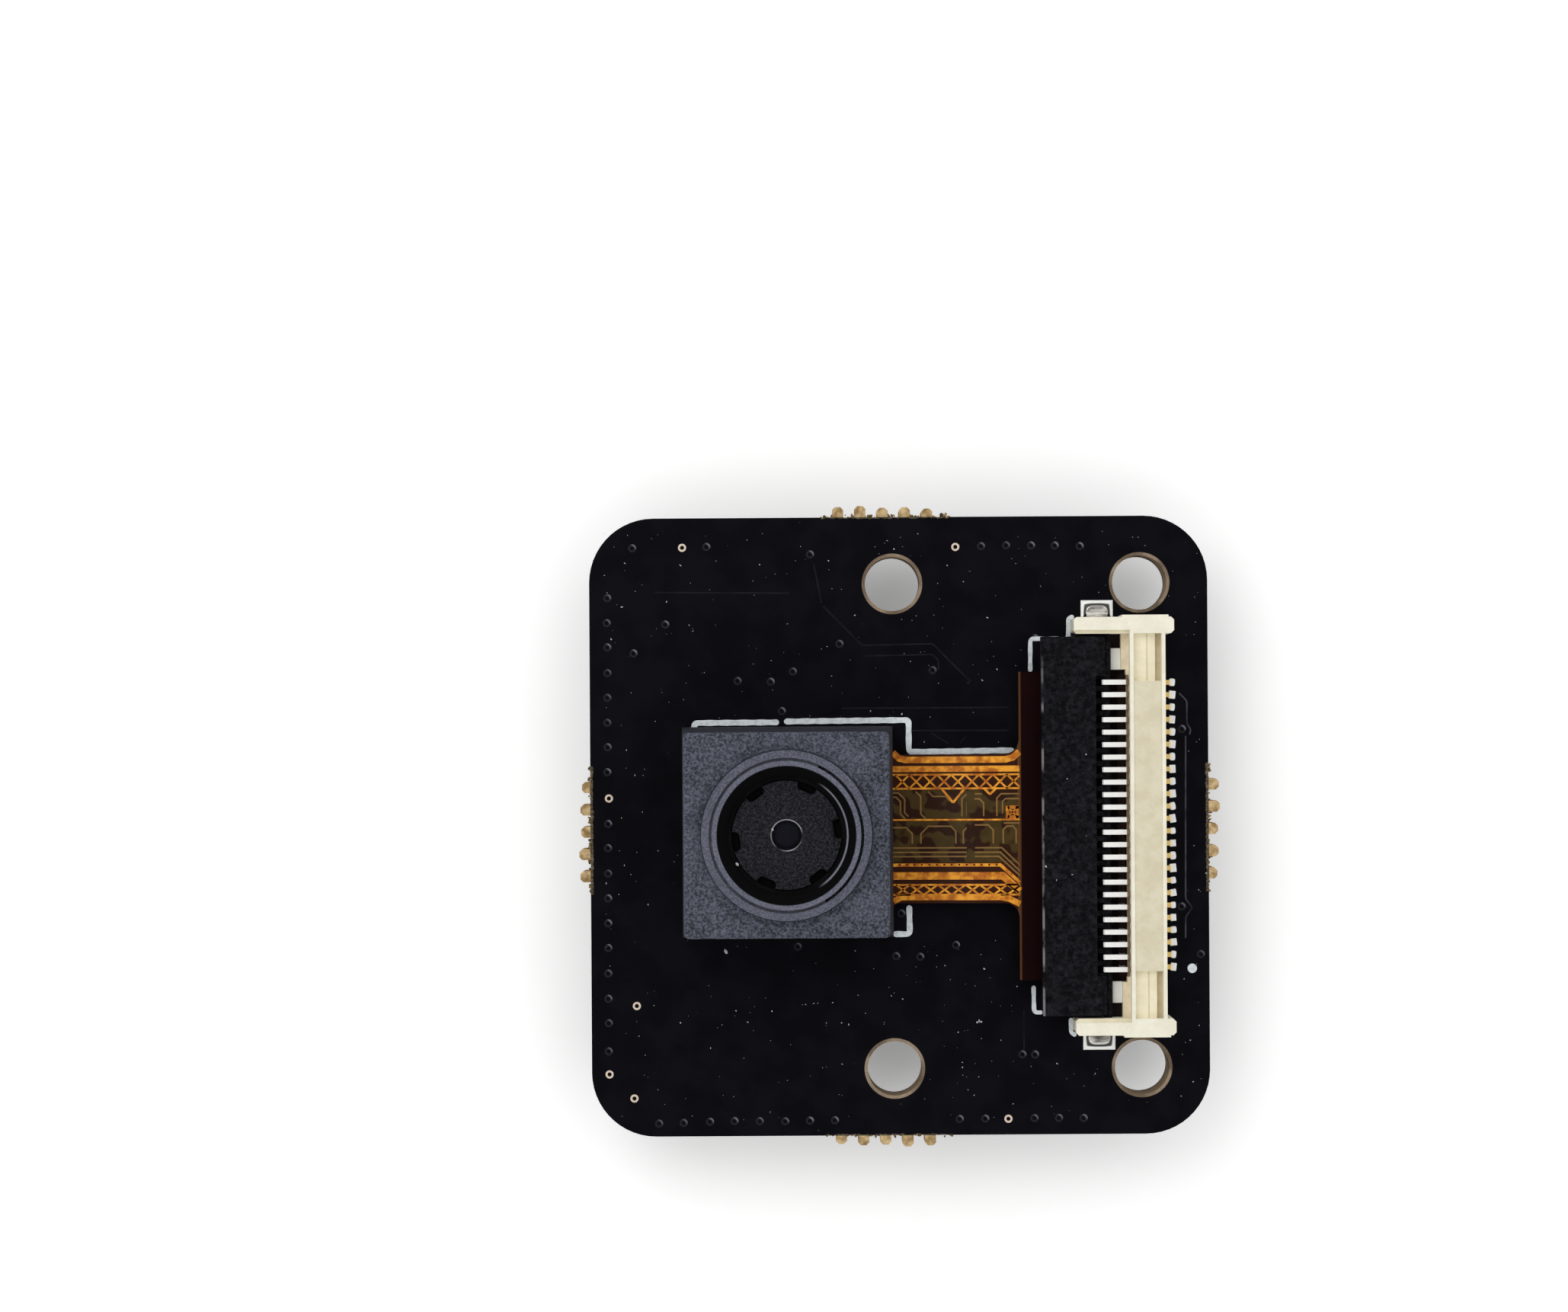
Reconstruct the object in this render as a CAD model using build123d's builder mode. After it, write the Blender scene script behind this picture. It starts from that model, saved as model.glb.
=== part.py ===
from build123d import *
import math
import os

os.makedirs("parts", exist_ok=True)

# A small camera module: a camera head on a square carrier board, joined by its film circuit
# to a 24-way film connector, with the host's flat-cable connector on the back.
# Millimetres. +Z points at the scene, and the origin is the centre of the four
# mounting holes on the board's back face. Lengths run along X, widths along Y.

# Carrier board
board_length = 25.0
board_width = 25.0
board_thickness = 1.6
board_corner_radius = 2.6
hole_spacing_x = 10.0
hole_spacing_y = 19.6
hole_diameter = 2.2
hole_edge_distance = 2.75
tab_stub_width = 0.45
tab_stub_chamfer = 0.12
tab_stub_pitch = 0.9
tab_stub_lengths = (0.42, 0.46, 0.38, 0.40, 0.34)
tab_shift_x = -0.63
tab_shift_y = -0.17

# Camera head: its place, and the layers under the lens holder
head_edge_distance = 7.98
head_shift_y = -0.2
head_side = 8.5
head_layer_inset = 0.05
adhesive_side = 8.0
adhesive_thickness = 0.1
sensor_stiffener_thickness = 0.2
film_thickness = 0.12

# Lens holder
holder_height = 4.48
holder_draft = 2.87
holder_corner_radius = 0.2
holder_edge_chamfer = 0.07
collar_radius = 3.33
collar_height = 0.4
collar_draft = 8.0
thread_radius = 2.94
glue_well_radius = 3.03
glue_well_depth = 0.45
holder_cavity_side = 7.0
holder_cavity_height = 1.08
filter_shelf_thickness = 0.3
filter_window_length = 4.6
filter_window_width = 4.0

# Lens barrel and what it holds, from the front
barrel_radius = 2.92
barrel_stand = 0.1
barrel_rim_width = 0.19
recess_depth = 0.65
recess_step_radius = 2.36
recess_step_height = 0.12
retainer_radius = 2.14
retainer_thickness = 0.4
retainer_clearance = 0.02
retainer_relief_depth = 0.2
notch_count = 6
notch_width = 0.77
notch_depth = 0.3
notch_corner_radius = 0.2
notch_angle = 7.0
aperture_radius = 0.5
aperture_chamfer = 0.08
lens_radius = 1.88
lens_clearance = 0.02
front_lens_edge = 0.5
front_spacer_height = 0.2
middle_lens_edge = 0.4
rear_spacer_height = 0.3
rear_lens_edge = 0.4
front_optic_radius = 0.95
middle_optic_radius = 1.15
rear_optic_radius = 1.45
front_lens_bulge = 0.12
middle_lens_bulge = -0.1
rear_lens_bulge = 0.1
spacer_ring_width = 0.35
barrel_lip_height = 0.25
barrel_lip_width = 0.25
glue_height = 0.3
glue_opening_from = -60.0
glue_opening_to = 65.0

# Image sensor and filter
sensor_length = 5.9
sensor_width = 5.2
sensor_thickness = 0.3
filter_side = 5.4
filter_thickness = 0.21

# Film circuit
neck_width = 6.0
neck_shift_y = -0.1
neck_straight = 0.8
tee_width = 12.4
tee_edge_distance = 7.7
tee_stiffener_inset = 0.08
tee_stiffener_thickness = 0.18
neck_root_radius = 0.3
tee_root_radius = 0.6

# 24-way film connector, measured from its mouth, which faces the camera head
film_mouth_distance = 5.55
contact_count = 24
contact_pitch = 0.5
contact_thickness = 0.2
contact_clearance = 0.02
film_end_depth = 1.8
film_wall_length = 4.0
film_wall_thickness = 0.66
film_wall_chamfer = 0.12
wall_step_width = 0.14
wall_step_depth = 0.25
film_housing_width = 16.7
film_housing_height = 2.0
film_floor_height = 0.6
film_floor_gap = 0.02
film_bar_depth = 2.23
film_bar_width = 1.42
bar_rim_width = 0.15
bar_flat_depth = 0.04
bar_pocket_width = 1.9
bar_pocket_depth = 0.32
pocket_trench_width = 0.24
pocket_trench_depth = 0.62
pocket_seam_width = 0.06
pocket_seam_depth = 0.37
ledge_depth = 0.12
end_ledge_depth = 0.3
ledge_height = 1.35
guide_nub_width = 0.86
guide_nub_gap = 0.06
guide_nub_length = 0.5
guide_nub_height = 0.95
wall_pad_length = 1.85
wall_pad_height = 0.08
contact_tail_length = 0.34
contact_tail_height = 0.15
contact_stem_width = 0.4
contact_stem_setback = 0.22
beam_height = 1.42
beam_thickness = 0.18
beam_reach = 1.31
beam_nose = 0.07
arm_base = 0.25
arm_thickness = 0.17
arm_tip_depth = 0.5
arm_slope = 0.36

# Flip lock, from its turning axis
lock_axis_depth = 1.35
lock_axis_height = 1.2
lock_reach = 2.64
lock_heel = 0.06
lock_below_axis = 0.15
lock_above_axis = 0.5
lock_heel_chamfer = 0.25
lock_front_chamfer = 0.1
lock_side_gap = 0.11
lock_slot_width = 0.3
lock_slot_end = 0.46
lock_finger_height = 0.14
lock_bar_radius = 0.18
lock_bar_sides = 8
lock_pin_radius = 0.15
lock_pin_length = 0.17
lock_pin_clearance = 0.04
lock_pin_end_gap = 0.06

# Hold-down tabs of the film connector
tab_depth = 0.65
tab_length = 0.85
tab_thickness = 0.2
tab_height = 1.25
tab_foot_height = 0.15
tab_foot_reach = 0.5
tab_foot_corner = 0.28
tab_clearance = 0.02
tab_skin = 0.15

# Host connector on the back, 15 ways on 1 mm, measured from its mouth at the board's left edge
host_edge_distance = 1.45
host_count = 15
host_pitch = 1.0
host_width = 20.2
host_depth = 4.2
host_height = 2.5
host_cavity_width = 17.0
host_cavity_base = 0.55
host_cavity_height = 1.4
host_cavity_depth = 3.2
host_contact_thickness = 0.3
host_contact_clearance = 0.03
host_arm_thickness = 0.2
host_bump_height = 0.18
host_arm_tip_depth = 0.8
host_stem_width = 0.4
host_tail_length = 0.9
host_tail_height = 0.15
host_edge_chamfer = 0.15
host_rib_count = 7
host_rib_width = 0.5
host_rib_recess = 0.12

# Slide lock of the host connector
slide_travel = 1.2
slide_bar_length = 1.0
slide_bar_overhang = 0.6
slide_bar_skirt = 0.1
slide_seat_gap = 0.03
slide_tongue_length = 2.2
slide_tongue_thickness = 0.5
slide_tongue_gap = 0.1
slide_arm_length = 2.3
slide_arm_height = 1.2
slide_arm_gap = 0.06
slide_hook_length = 0.4
slide_hook_depth = 0.2
slide_hook_gap = 0.08
cable_slot_width = 16.2
cable_slot_height = 0.45
slide_bar_chamfer = 0.15

# Hold-downs of the host connector
host_tab_depth = 2.9
host_tab_length = 0.9
host_tab_reach = 0.7
host_tab_height = 1.4
host_tab_thickness = 0.2

# Small parts on the back, between the host connector and the right edge
regulator_places = ((0.2, 5.6), (0.2, -5.6))
regulator_length = 2.9
regulator_width = 1.6
regulator_height = 1.1
regulator_stand = 0.15
regulator_draft = 5.0
lead_pitch = 0.95
lead_width = 0.4
lead_thickness = 0.15
lead_shoulder = 0.55
lead_reach = 0.6
lead_foot_length = 0.25
oscillator_place = (-7.6, 0.0)
oscillator_length = 2.0
oscillator_width = 2.5
oscillator_height = 0.8
oscillator_lid_height = 0.2
oscillator_lid_inset = 0.15
chip_length = 1.0
chip_width = 0.5
chip_height = 0.5
chip_cap_length = 0.22
chip_cap_thickness = 0.02
capacitor_places = ((-3.4, 6.9), (-3.4, 5.6), (-3.4, 4.3), (-3.4, -4.3), (-3.4, -5.6), (-3.4, -6.9))
resistor_places = ((-7.6, 4.2), (-7.6, 5.6), (-7.6, -4.2), (-7.6, -5.6))
resistor_height = 0.35
ferrite_place = (-3.4, 0.0)
ferrite_length = 1.6
ferrite_width = 0.8
ferrite_height = 0.8
ferrite_cap_length = 0.3

# Places worked out from the sizes above
board_right = hole_spacing_x / 2 + hole_edge_distance
board_left = board_right - board_length
board_centre_x = (board_left + board_right) / 2
head_x = board_left + head_edge_distance
head_place = (head_x, head_shift_y)
film_base = adhesive_thickness + sensor_stiffener_thickness
holder_base = film_base + film_thickness
holder_top = holder_base + holder_height
collar_top = holder_top + collar_height
barrel_top = collar_top + barrel_stand
retainer_top = barrel_top - recess_depth
retainer_base = retainer_top - retainer_thickness
front_lens_base = retainer_base - front_lens_edge
front_spacer_base = front_lens_base - front_spacer_height
middle_lens_base = front_spacer_base - middle_lens_edge
rear_spacer_base = middle_lens_base - rear_spacer_height
rear_lens_base = rear_spacer_base - rear_lens_edge
barrel_bottom = rear_lens_base - barrel_lip_height
cavity_top = holder_base + holder_cavity_height
shelf_top = cavity_top + filter_shelf_thickness
lens_bore_radius = lens_radius + lens_clearance
retainer_bore_radius = retainer_radius + retainer_clearance

film_x = board_right - film_mouth_distance
film_seat = film_floor_height + film_floor_gap
film_inner_half = film_housing_width / 2 - film_wall_thickness
film_bar_end = film_bar_depth + film_bar_width
nub_inner = tee_width / 2 + guide_nub_gap
contact_stem_front = film_bar_depth + contact_stem_setback
contact_stem_rear = contact_stem_front + contact_stem_width
contact_tail_end = film_bar_end + contact_tail_length
beam_top = beam_height + beam_thickness
beam_tip = contact_stem_front - beam_reach
arm_top = arm_base + arm_thickness
lock_half_width = film_inner_half - lock_side_gap
tab_outer = film_housing_width / 2 - tab_skin
tab_inner = tab_outer - tab_thickness

host_x = board_left + host_edge_distance
host_cavity_top = host_cavity_base + host_cavity_height
host_stem_rear = host_cavity_depth + host_stem_width
host_arm_base = host_cavity_base - host_arm_thickness
slide_half_width = host_width / 2 + slide_bar_overhang

# Section planes: the first number is the distance along X, the second the height
# above the front face of the board, or below its back face on the host side
lens_section = Plane(origin=(head_x, head_shift_y, board_thickness), x_dir=(1, 0, 0), z_dir=(0, -1, 0))
film_section = Plane(origin=(film_x, 0, board_thickness), x_dir=(1, 0, 0), z_dir=(0, -1, 0))
host_section = Plane(origin=(host_x, 0, 0), x_dir=(1, 0, 0), z_dir=(0, 1, 0))
back_plane = Plane(origin=(0, 0, 0), x_dir=(1, 0, 0), z_dir=(0, 0, -1))
optical_axis = Axis((head_x, head_shift_y, 0), (0, 0, 1))


def above_board(height):
    return Plane.XY.offset(board_thickness + height)


def below_board(depth):
    return back_plane.offset(depth)


def span(low_x, high_x, low_y, high_y, mode=Mode.ADD):
    """Rectangle between two corners, in the sketch that is open."""
    with Locations(((low_x + high_x) / 2, (low_y + high_y) / 2)):
        Rectangle(high_x - low_x, high_y - low_y, mode=mode)


def save(piece, name):
    piece.part.label = name
    export_step(piece.part, f"parts/{name}.step")


# Carrier board, with what is left of the four tabs that held it in its panel
with BuildPart() as circuit_board:
    with BuildSketch() as board_outline:
        with Locations((board_centre_x, 0)):
            RectangleRounded(board_length, board_width, board_corner_radius)
        for number, stub_length in enumerate(tab_stub_lengths):
            along = (number - (len(tab_stub_lengths) - 1) / 2) * tab_stub_pitch
            with Locations(
                (board_centre_x + tab_shift_x + along, board_width / 2),
                (board_centre_x + tab_shift_x - along, -board_width / 2),
            ):
                Rectangle(tab_stub_width, 2 * stub_length)
            with Locations((board_left, tab_shift_y + along), (board_right, tab_shift_y - along)):
                Rectangle(2 * stub_length, tab_stub_width)
        stub_corners = board_outline.vertices().filter_by(
            lambda corner: abs(corner.X - board_centre_x) > board_length / 2 + tab_stub_chamfer
            or abs(corner.Y) > board_width / 2 + tab_stub_chamfer
        )
        chamfer(stub_corners, tab_stub_chamfer)
        with GridLocations(hole_spacing_x, hole_spacing_y, 2, 2):
            Circle(hole_diameter / 2, mode=Mode.SUBTRACT)
    extrude(amount=board_thickness)
save(circuit_board, "circuit_board")

# Foam adhesive that holds the camera head to the board
with BuildPart() as adhesive_pad:
    with BuildSketch(above_board(0)):
        with Locations(head_place):
            Rectangle(adhesive_side, adhesive_side)
    extrude(amount=adhesive_thickness)
save(adhesive_pad, "adhesive_pad")

# Stiffener plate bonded under the film circuit, below the image sensor
with BuildPart() as sensor_stiffener:
    with BuildSketch(above_board(adhesive_thickness)):
        with Locations(head_place):
            Rectangle(head_side, head_side)
    extrude(amount=sensor_stiffener_thickness)
save(sensor_stiffener, "sensor_stiffener")

# Film circuit: a square under the head, a neck, and a wide end in the connector
tee_x = board_right - tee_edge_distance
film_end = film_x + film_end_depth
head_right = head_x + head_side / 2
film_rise = film_seat - film_base
neck_run = tee_x - head_right - 2 * neck_straight
bend_angle = 2 * math.degrees(math.atan(film_rise / neck_run))
bend_radius = neck_run / (2 * math.sin(math.radians(bend_angle)))


def film_edge(height):
    """One long edge of the film's side view: flat, a gentle rise, flat."""
    start = Line((head_x - head_side / 2, height), (head_right + neck_straight, height))
    up = JernArc(start @ 1, (1, 0), bend_radius, bend_angle)
    level = JernArc(up @ 1, up % 1, bend_radius, -bend_angle)
    end = Line(level @ 1, (film_end, height + film_rise))
    return start, end


with BuildPart() as camera_flex:
    with BuildSketch(Plane(origin=(0, 0, board_thickness), x_dir=(1, 0, 0), z_dir=(0, -1, 0))):
        with BuildLine():
            lower_start, lower_end = film_edge(film_base)
            upper_start, upper_end = film_edge(holder_base)
            Line(lower_start @ 0, upper_start @ 0)
            Line(lower_end @ 1, upper_end @ 1)
        make_face()
    extrude(amount=tee_width / 2, both=True)
    with BuildSketch(above_board(0)) as film_outline:
        with Locations(head_place):
            Rectangle(head_side - 2 * head_layer_inset, head_side - 2 * head_layer_inset)
        span(head_x, tee_x + neck_width / 2, neck_shift_y - neck_width / 2, neck_shift_y + neck_width / 2)
        span(tee_x, film_end, -tee_width / 2, tee_width / 2)
        corner_columns = film_outline.vertices().group_by(Axis.X)
        fillet(corner_columns[1].sort_by(Axis.Y)[1:3], neck_root_radius)
        corner_columns = film_outline.vertices().group_by(Axis.X)
        fillet(corner_columns[-2].sort_by(Axis.Y)[1:3], tee_root_radius)
    extrude(amount=film_housing_height, mode=Mode.INTERSECT)
save(camera_flex, "camera_flex")

# Dark stiffener bonded on the wide end of the film
with BuildPart() as flex_end_stiffener:
    with BuildSketch(above_board(film_seat + film_thickness)):
        span(tee_x + tee_stiffener_inset, film_end, -tee_width / 2, tee_width / 2)
    extrude(amount=tee_stiffener_thickness)
save(flex_end_stiffener, "flex_end_stiffener")

# Image sensor die, bonded on the film inside the holder
with BuildPart() as image_sensor:
    with BuildSketch(above_board(holder_base)):
        with Locations(head_place):
            Rectangle(sensor_length, sensor_width)
    extrude(amount=sensor_thickness)
save(image_sensor, "image_sensor")

# Infrared filter glass, glued under the holder's shelf
with BuildPart() as infrared_filter:
    with BuildSketch(above_board(cavity_top - filter_thickness)):
        with Locations(head_place):
            Rectangle(filter_side, filter_side)
    extrude(amount=filter_thickness)
save(infrared_filter, "infrared_filter")

# Lens holder: drafted square housing with a collar round the threaded bore
with BuildPart() as lens_holder:
    with BuildSketch(above_board(holder_base)):
        with Locations(head_place):
            Rectangle(head_side, head_side)
    extrude(amount=holder_height, taper=holder_draft)
    fillet(lens_holder.edges().group_by(Axis.Z)[1], holder_corner_radius)
    chamfer(lens_holder.faces().sort_by(Axis.Z)[-1].edges(), holder_edge_chamfer)
    with BuildSketch(above_board(holder_top)):
        with Locations(head_place):
            Circle(collar_radius + collar_height * math.tan(math.radians(collar_draft)))
    extrude(amount=collar_height, taper=collar_draft)
    with BuildSketch(above_board(holder_base)):
        with Locations(head_place):
            Rectangle(holder_cavity_side, holder_cavity_side)
    extrude(amount=holder_cavity_height, mode=Mode.SUBTRACT)
    with BuildSketch(above_board(cavity_top)):
        with Locations(head_place):
            Rectangle(filter_window_length, filter_window_width)
    extrude(amount=filter_shelf_thickness, mode=Mode.SUBTRACT)
    with Locations(above_board(collar_top).move(Location((head_x, head_shift_y, 0)))):
        CounterBoreHole(thread_radius, glue_well_radius, glue_well_depth, collar_top - shelf_top)
save(lens_holder, "lens_holder")

# Lens barrel: conical recess in front, a seat for the retainer, a bore for the lens stack
with BuildPart() as lens_barrel:
    with BuildSketch(lens_section):
        with BuildLine():
            Polyline(
                (barrel_radius, barrel_bottom),
                (barrel_radius, barrel_top),
                (barrel_radius - barrel_rim_width, barrel_top),
                (recess_step_radius, retainer_top + recess_step_height),
                (recess_step_radius, retainer_top - recess_step_height),
                (retainer_bore_radius, retainer_top - recess_step_height),
                (retainer_bore_radius, retainer_base),
                (lens_bore_radius, retainer_base),
                (lens_bore_radius, rear_lens_base),
                (lens_bore_radius - barrel_lip_width, rear_lens_base),
                (lens_bore_radius - barrel_lip_width, barrel_bottom),
                close=True,
            )
        make_face()
    revolve(axis=optical_axis)
save(lens_barrel, "lens_barrel")

# Bead of glue in the well round the barrel, open where the groove was left unfilled
glue_start = math.radians(glue_opening_to)
glue_plane = Plane(
    origin=(head_x, head_shift_y, board_thickness),
    x_dir=(math.cos(glue_start), math.sin(glue_start), 0),
    z_dir=(math.sin(glue_start), -math.cos(glue_start), 0),
)
with BuildPart() as barrel_glue:
    with BuildSketch(glue_plane):
        glue_base = collar_top - glue_well_depth
        span(barrel_radius, glue_well_radius, glue_base, glue_base + glue_height)
    revolve(axis=optical_axis, revolution_arc=360 - (glue_opening_to - glue_opening_from))
save(barrel_glue, "barrel_glue")

# Front retainer: matte disc with rounded grip notches and the entrance aperture
with BuildPart() as front_retainer:
    with BuildSketch(above_board(retainer_base)):
        with Locations(head_place):
            Circle(retainer_radius)
            Circle(aperture_radius, mode=Mode.SUBTRACT)
            with PolarLocations(retainer_radius, notch_count, start_angle=notch_angle):
                RectangleRounded(2 * notch_depth, notch_width, notch_corner_radius, mode=Mode.SUBTRACT)
    extrude(amount=retainer_thickness)
    aperture_edges = front_retainer.edges().filter_by(GeomType.CIRCLE).group_by(Axis.Z)[-1]
    chamfer(aperture_edges.sort_by(SortBy.RADIUS)[0:1], aperture_chamfer)
    with BuildSketch(above_board(retainer_base)):
        with Locations(head_place):
            Circle(front_optic_radius)
    extrude(amount=retainer_relief_depth, mode=Mode.SUBTRACT)
save(front_retainer, "front_retainer")


# Lens elements: thick rims that stack in the barrel, with a curved optic in the front face;
# a positive bulge rises at the axis
lens_elements = (
    ("front_lens", front_lens_base, front_lens_edge, front_optic_radius, front_lens_bulge),
    ("middle_lens", middle_lens_base, middle_lens_edge, middle_optic_radius, middle_lens_bulge),
    ("rear_lens", rear_lens_base, rear_lens_edge, rear_optic_radius, rear_lens_bulge),
)
for lens_name, base, edge, optic_radius, bulge in lens_elements:
    curve_radius = (optic_radius**2 + bulge**2) / (2 * abs(bulge))
    half_angle = math.degrees(math.asin(optic_radius / curve_radius))
    with BuildPart() as lens_element:
        with BuildSketch(lens_section):
            with BuildLine():
                optic = JernArc(
                    (0, base + edge + bulge), (1, 0), curve_radius, -math.copysign(half_angle, bulge)
                )
                Polyline(
                    optic @ 1,
                    (lens_radius, base + edge),
                    (lens_radius, base),
                    (0, base),
                    optic @ 0,
                )
            make_face()
        revolve(axis=optical_axis)
    save(lens_element, lens_name)

# Black spacer rings between the lens elements
for spacer_name, base, height in (
    ("front_spacer", front_spacer_base, front_spacer_height),
    ("rear_spacer", rear_spacer_base, rear_spacer_height),
):
    with BuildPart() as spacer:
        with BuildSketch(above_board(base)):
            with Locations(head_place):
                Circle(lens_radius)
                Circle(lens_radius - spacer_ring_width, mode=Mode.SUBTRACT)
        extrude(amount=height)
    save(spacer, spacer_name)

# Contacts of the film connector: forks with an upper beam, a lower arm and a solder tail
def contact_outline():
    """Side view of one contact, in the sketch that is open."""
    Polyline(
        (contact_tail_end, 0),
        (contact_tail_end, contact_tail_height),
        (contact_stem_rear, contact_tail_height),
        (contact_stem_rear, beam_top),
        (beam_tip + beam_nose, beam_top),
        (beam_tip, beam_top - beam_nose),
        (beam_tip, beam_height),
        (contact_stem_front, beam_height),
        (contact_stem_front, arm_top),
        (arm_tip_depth + 2 * arm_slope, arm_top),
        (arm_tip_depth + arm_slope, film_seat),
        (arm_tip_depth, arm_top),
        (arm_tip_depth, arm_base),
        (contact_stem_front, arm_base),
        (contact_stem_front, 0),
        close=True,
    )


contact_row = [(number - (contact_count - 1) / 2) * contact_pitch for number in range(contact_count)]
contact_planes = [film_section.offset(place) for place in contact_row]
with BuildPart() as flex_connector_contacts:
    with BuildSketch(*contact_planes):
        with BuildLine():
            contact_outline()
        make_face()
    extrude(amount=contact_thickness / 2, both=True)
save(flex_connector_contacts, "flex_connector_contacts")

# Hold-down tabs: a plate in each end wall and a round-ended foot soldered to the board
with BuildPart() as flex_connector_hold_downs:
    with BuildSketch(above_board(0)):
        span(film_x + tab_depth, film_x + tab_depth + tab_length, tab_inner, tab_outer)
    extrude(amount=tab_height)
    with BuildSketch(above_board(0)) as foot:
        foot_end = film_housing_width / 2 + tab_foot_reach
        span(film_x + tab_depth, film_x + tab_depth + tab_length, tab_inner, foot_end)
        fillet(foot.vertices().group_by(Axis.Y)[-1], tab_foot_corner)
    extrude(amount=tab_foot_height)
    mirror(about=Plane.XZ)
save(flex_connector_hold_downs, "flex_connector_hold_downs")

# Housing of the film connector
with BuildPart() as flex_connector_housing:
    with BuildSketch(film_section):
        with BuildLine():
            Polyline(
                (0, 0),
                (film_bar_end, 0),
                (film_bar_end, film_housing_height),
                (film_bar_depth, film_housing_height),
                (film_bar_depth, ledge_height),
                (film_bar_depth - ledge_depth, ledge_height),
                (film_bar_depth - ledge_depth, film_floor_height),
                (0, film_floor_height),
                close=True,
            )
        make_face()
    extrude(amount=film_inner_half, both=True)
    ledge_end = film_x + film_bar_depth
    with BuildSketch(above_board(0)):
        span(ledge_end - end_ledge_depth, ledge_end, nub_inner, film_inner_half)
    extrude(amount=ledge_height)
    with BuildSketch(above_board(0)) as end_wall:
        span(film_x, film_x + film_wall_length, film_inner_half, film_housing_width / 2)
        chamfer(end_wall.vertices(), film_wall_chamfer)
        pad_start = ledge_end - end_ledge_depth
        span(
            pad_start,
            pad_start + wall_pad_length,
            film_inner_half,
            film_housing_width / 2 + wall_pad_height,
        )
    extrude(amount=film_housing_height)
    with BuildSketch(above_board(film_housing_height)):
        span(film_x, ledge_end, film_inner_half, film_inner_half + wall_step_width)
    extrude(amount=-wall_step_depth, mode=Mode.SUBTRACT)
    with BuildSketch(above_board(0)) as guide_nub:
        nub_end = ledge_end - end_ledge_depth
        span(nub_end - guide_nub_length, nub_end, nub_inner, nub_inner + guide_nub_width)
        chamfer(guide_nub.vertices().group_by(Axis.X)[0], film_wall_chamfer)
    extrude(amount=guide_nub_height)
    # Hollows for the lock's pins and the hold-down tabs, mirrored with the walls
    with BuildSketch(film_section.offset(-film_inner_half)):
        with Locations((lock_axis_depth, lock_axis_height)):
            Circle(lock_pin_radius + lock_pin_clearance)
    extrude(amount=-lock_pin_length - lock_pin_end_gap, mode=Mode.SUBTRACT)
    with BuildSketch(above_board(0)):
        span(
            film_x + tab_depth - tab_clearance,
            film_x + tab_depth + tab_length + tab_clearance,
            tab_inner - tab_clearance,
            tab_outer + tab_clearance,
        )
    extrude(amount=tab_height + tab_clearance, mode=Mode.SUBTRACT)
    with BuildSketch(above_board(0)):
        span(
            film_x + tab_depth - tab_clearance,
            film_x + tab_depth + tab_length + tab_clearance,
            tab_inner - tab_clearance,
            film_housing_width / 2,
        )
    extrude(amount=tab_foot_height + tab_clearance, mode=Mode.SUBTRACT)
    split(bisect_by=Plane.XZ, keep=Keep.BOTTOM)
    mirror(about=Plane.XZ)
    # Rimmed top of the bar, with a moulding pocket at each end that has a trench and a seam in its floor
    bar_low = film_x + film_bar_depth + bar_rim_width
    bar_high = film_x + film_bar_end - bar_rim_width
    with BuildSketch(above_board(film_housing_height)):
        span(bar_low, bar_high, -film_inner_half, film_inner_half)
    extrude(amount=-bar_flat_depth, mode=Mode.SUBTRACT)
    seam_low = (bar_low + bar_high - pocket_seam_width) / 2
    for floor_low, floor_high, floor_depth in (
        (bar_low, bar_high, bar_pocket_depth),
        (bar_high - pocket_trench_width, bar_high, pocket_trench_depth),
        (seam_low, seam_low + pocket_seam_width, pocket_seam_depth),
    ):
        with BuildSketch(above_board(film_housing_height)):
            span(floor_low, floor_high, film_inner_half - bar_pocket_width, film_inner_half)
            span(floor_low, floor_high, -film_inner_half, bar_pocket_width - film_inner_half)
        extrude(amount=-floor_depth, mode=Mode.SUBTRACT)
    # A slot for each contact, open above the lower arm
    with BuildSketch(*contact_planes):
        with BuildLine():
            contact_outline()
        make_face()
        offset(amount=contact_clearance, kind=Kind.INTERSECTION)
        span(
            arm_tip_depth - contact_clearance,
            contact_stem_front,
            arm_base - contact_clearance,
            film_floor_height,
        )
    extrude(amount=contact_thickness / 2 + contact_clearance, both=True, mode=Mode.SUBTRACT)
save(flex_connector_housing, "flex_connector_housing")

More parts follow.
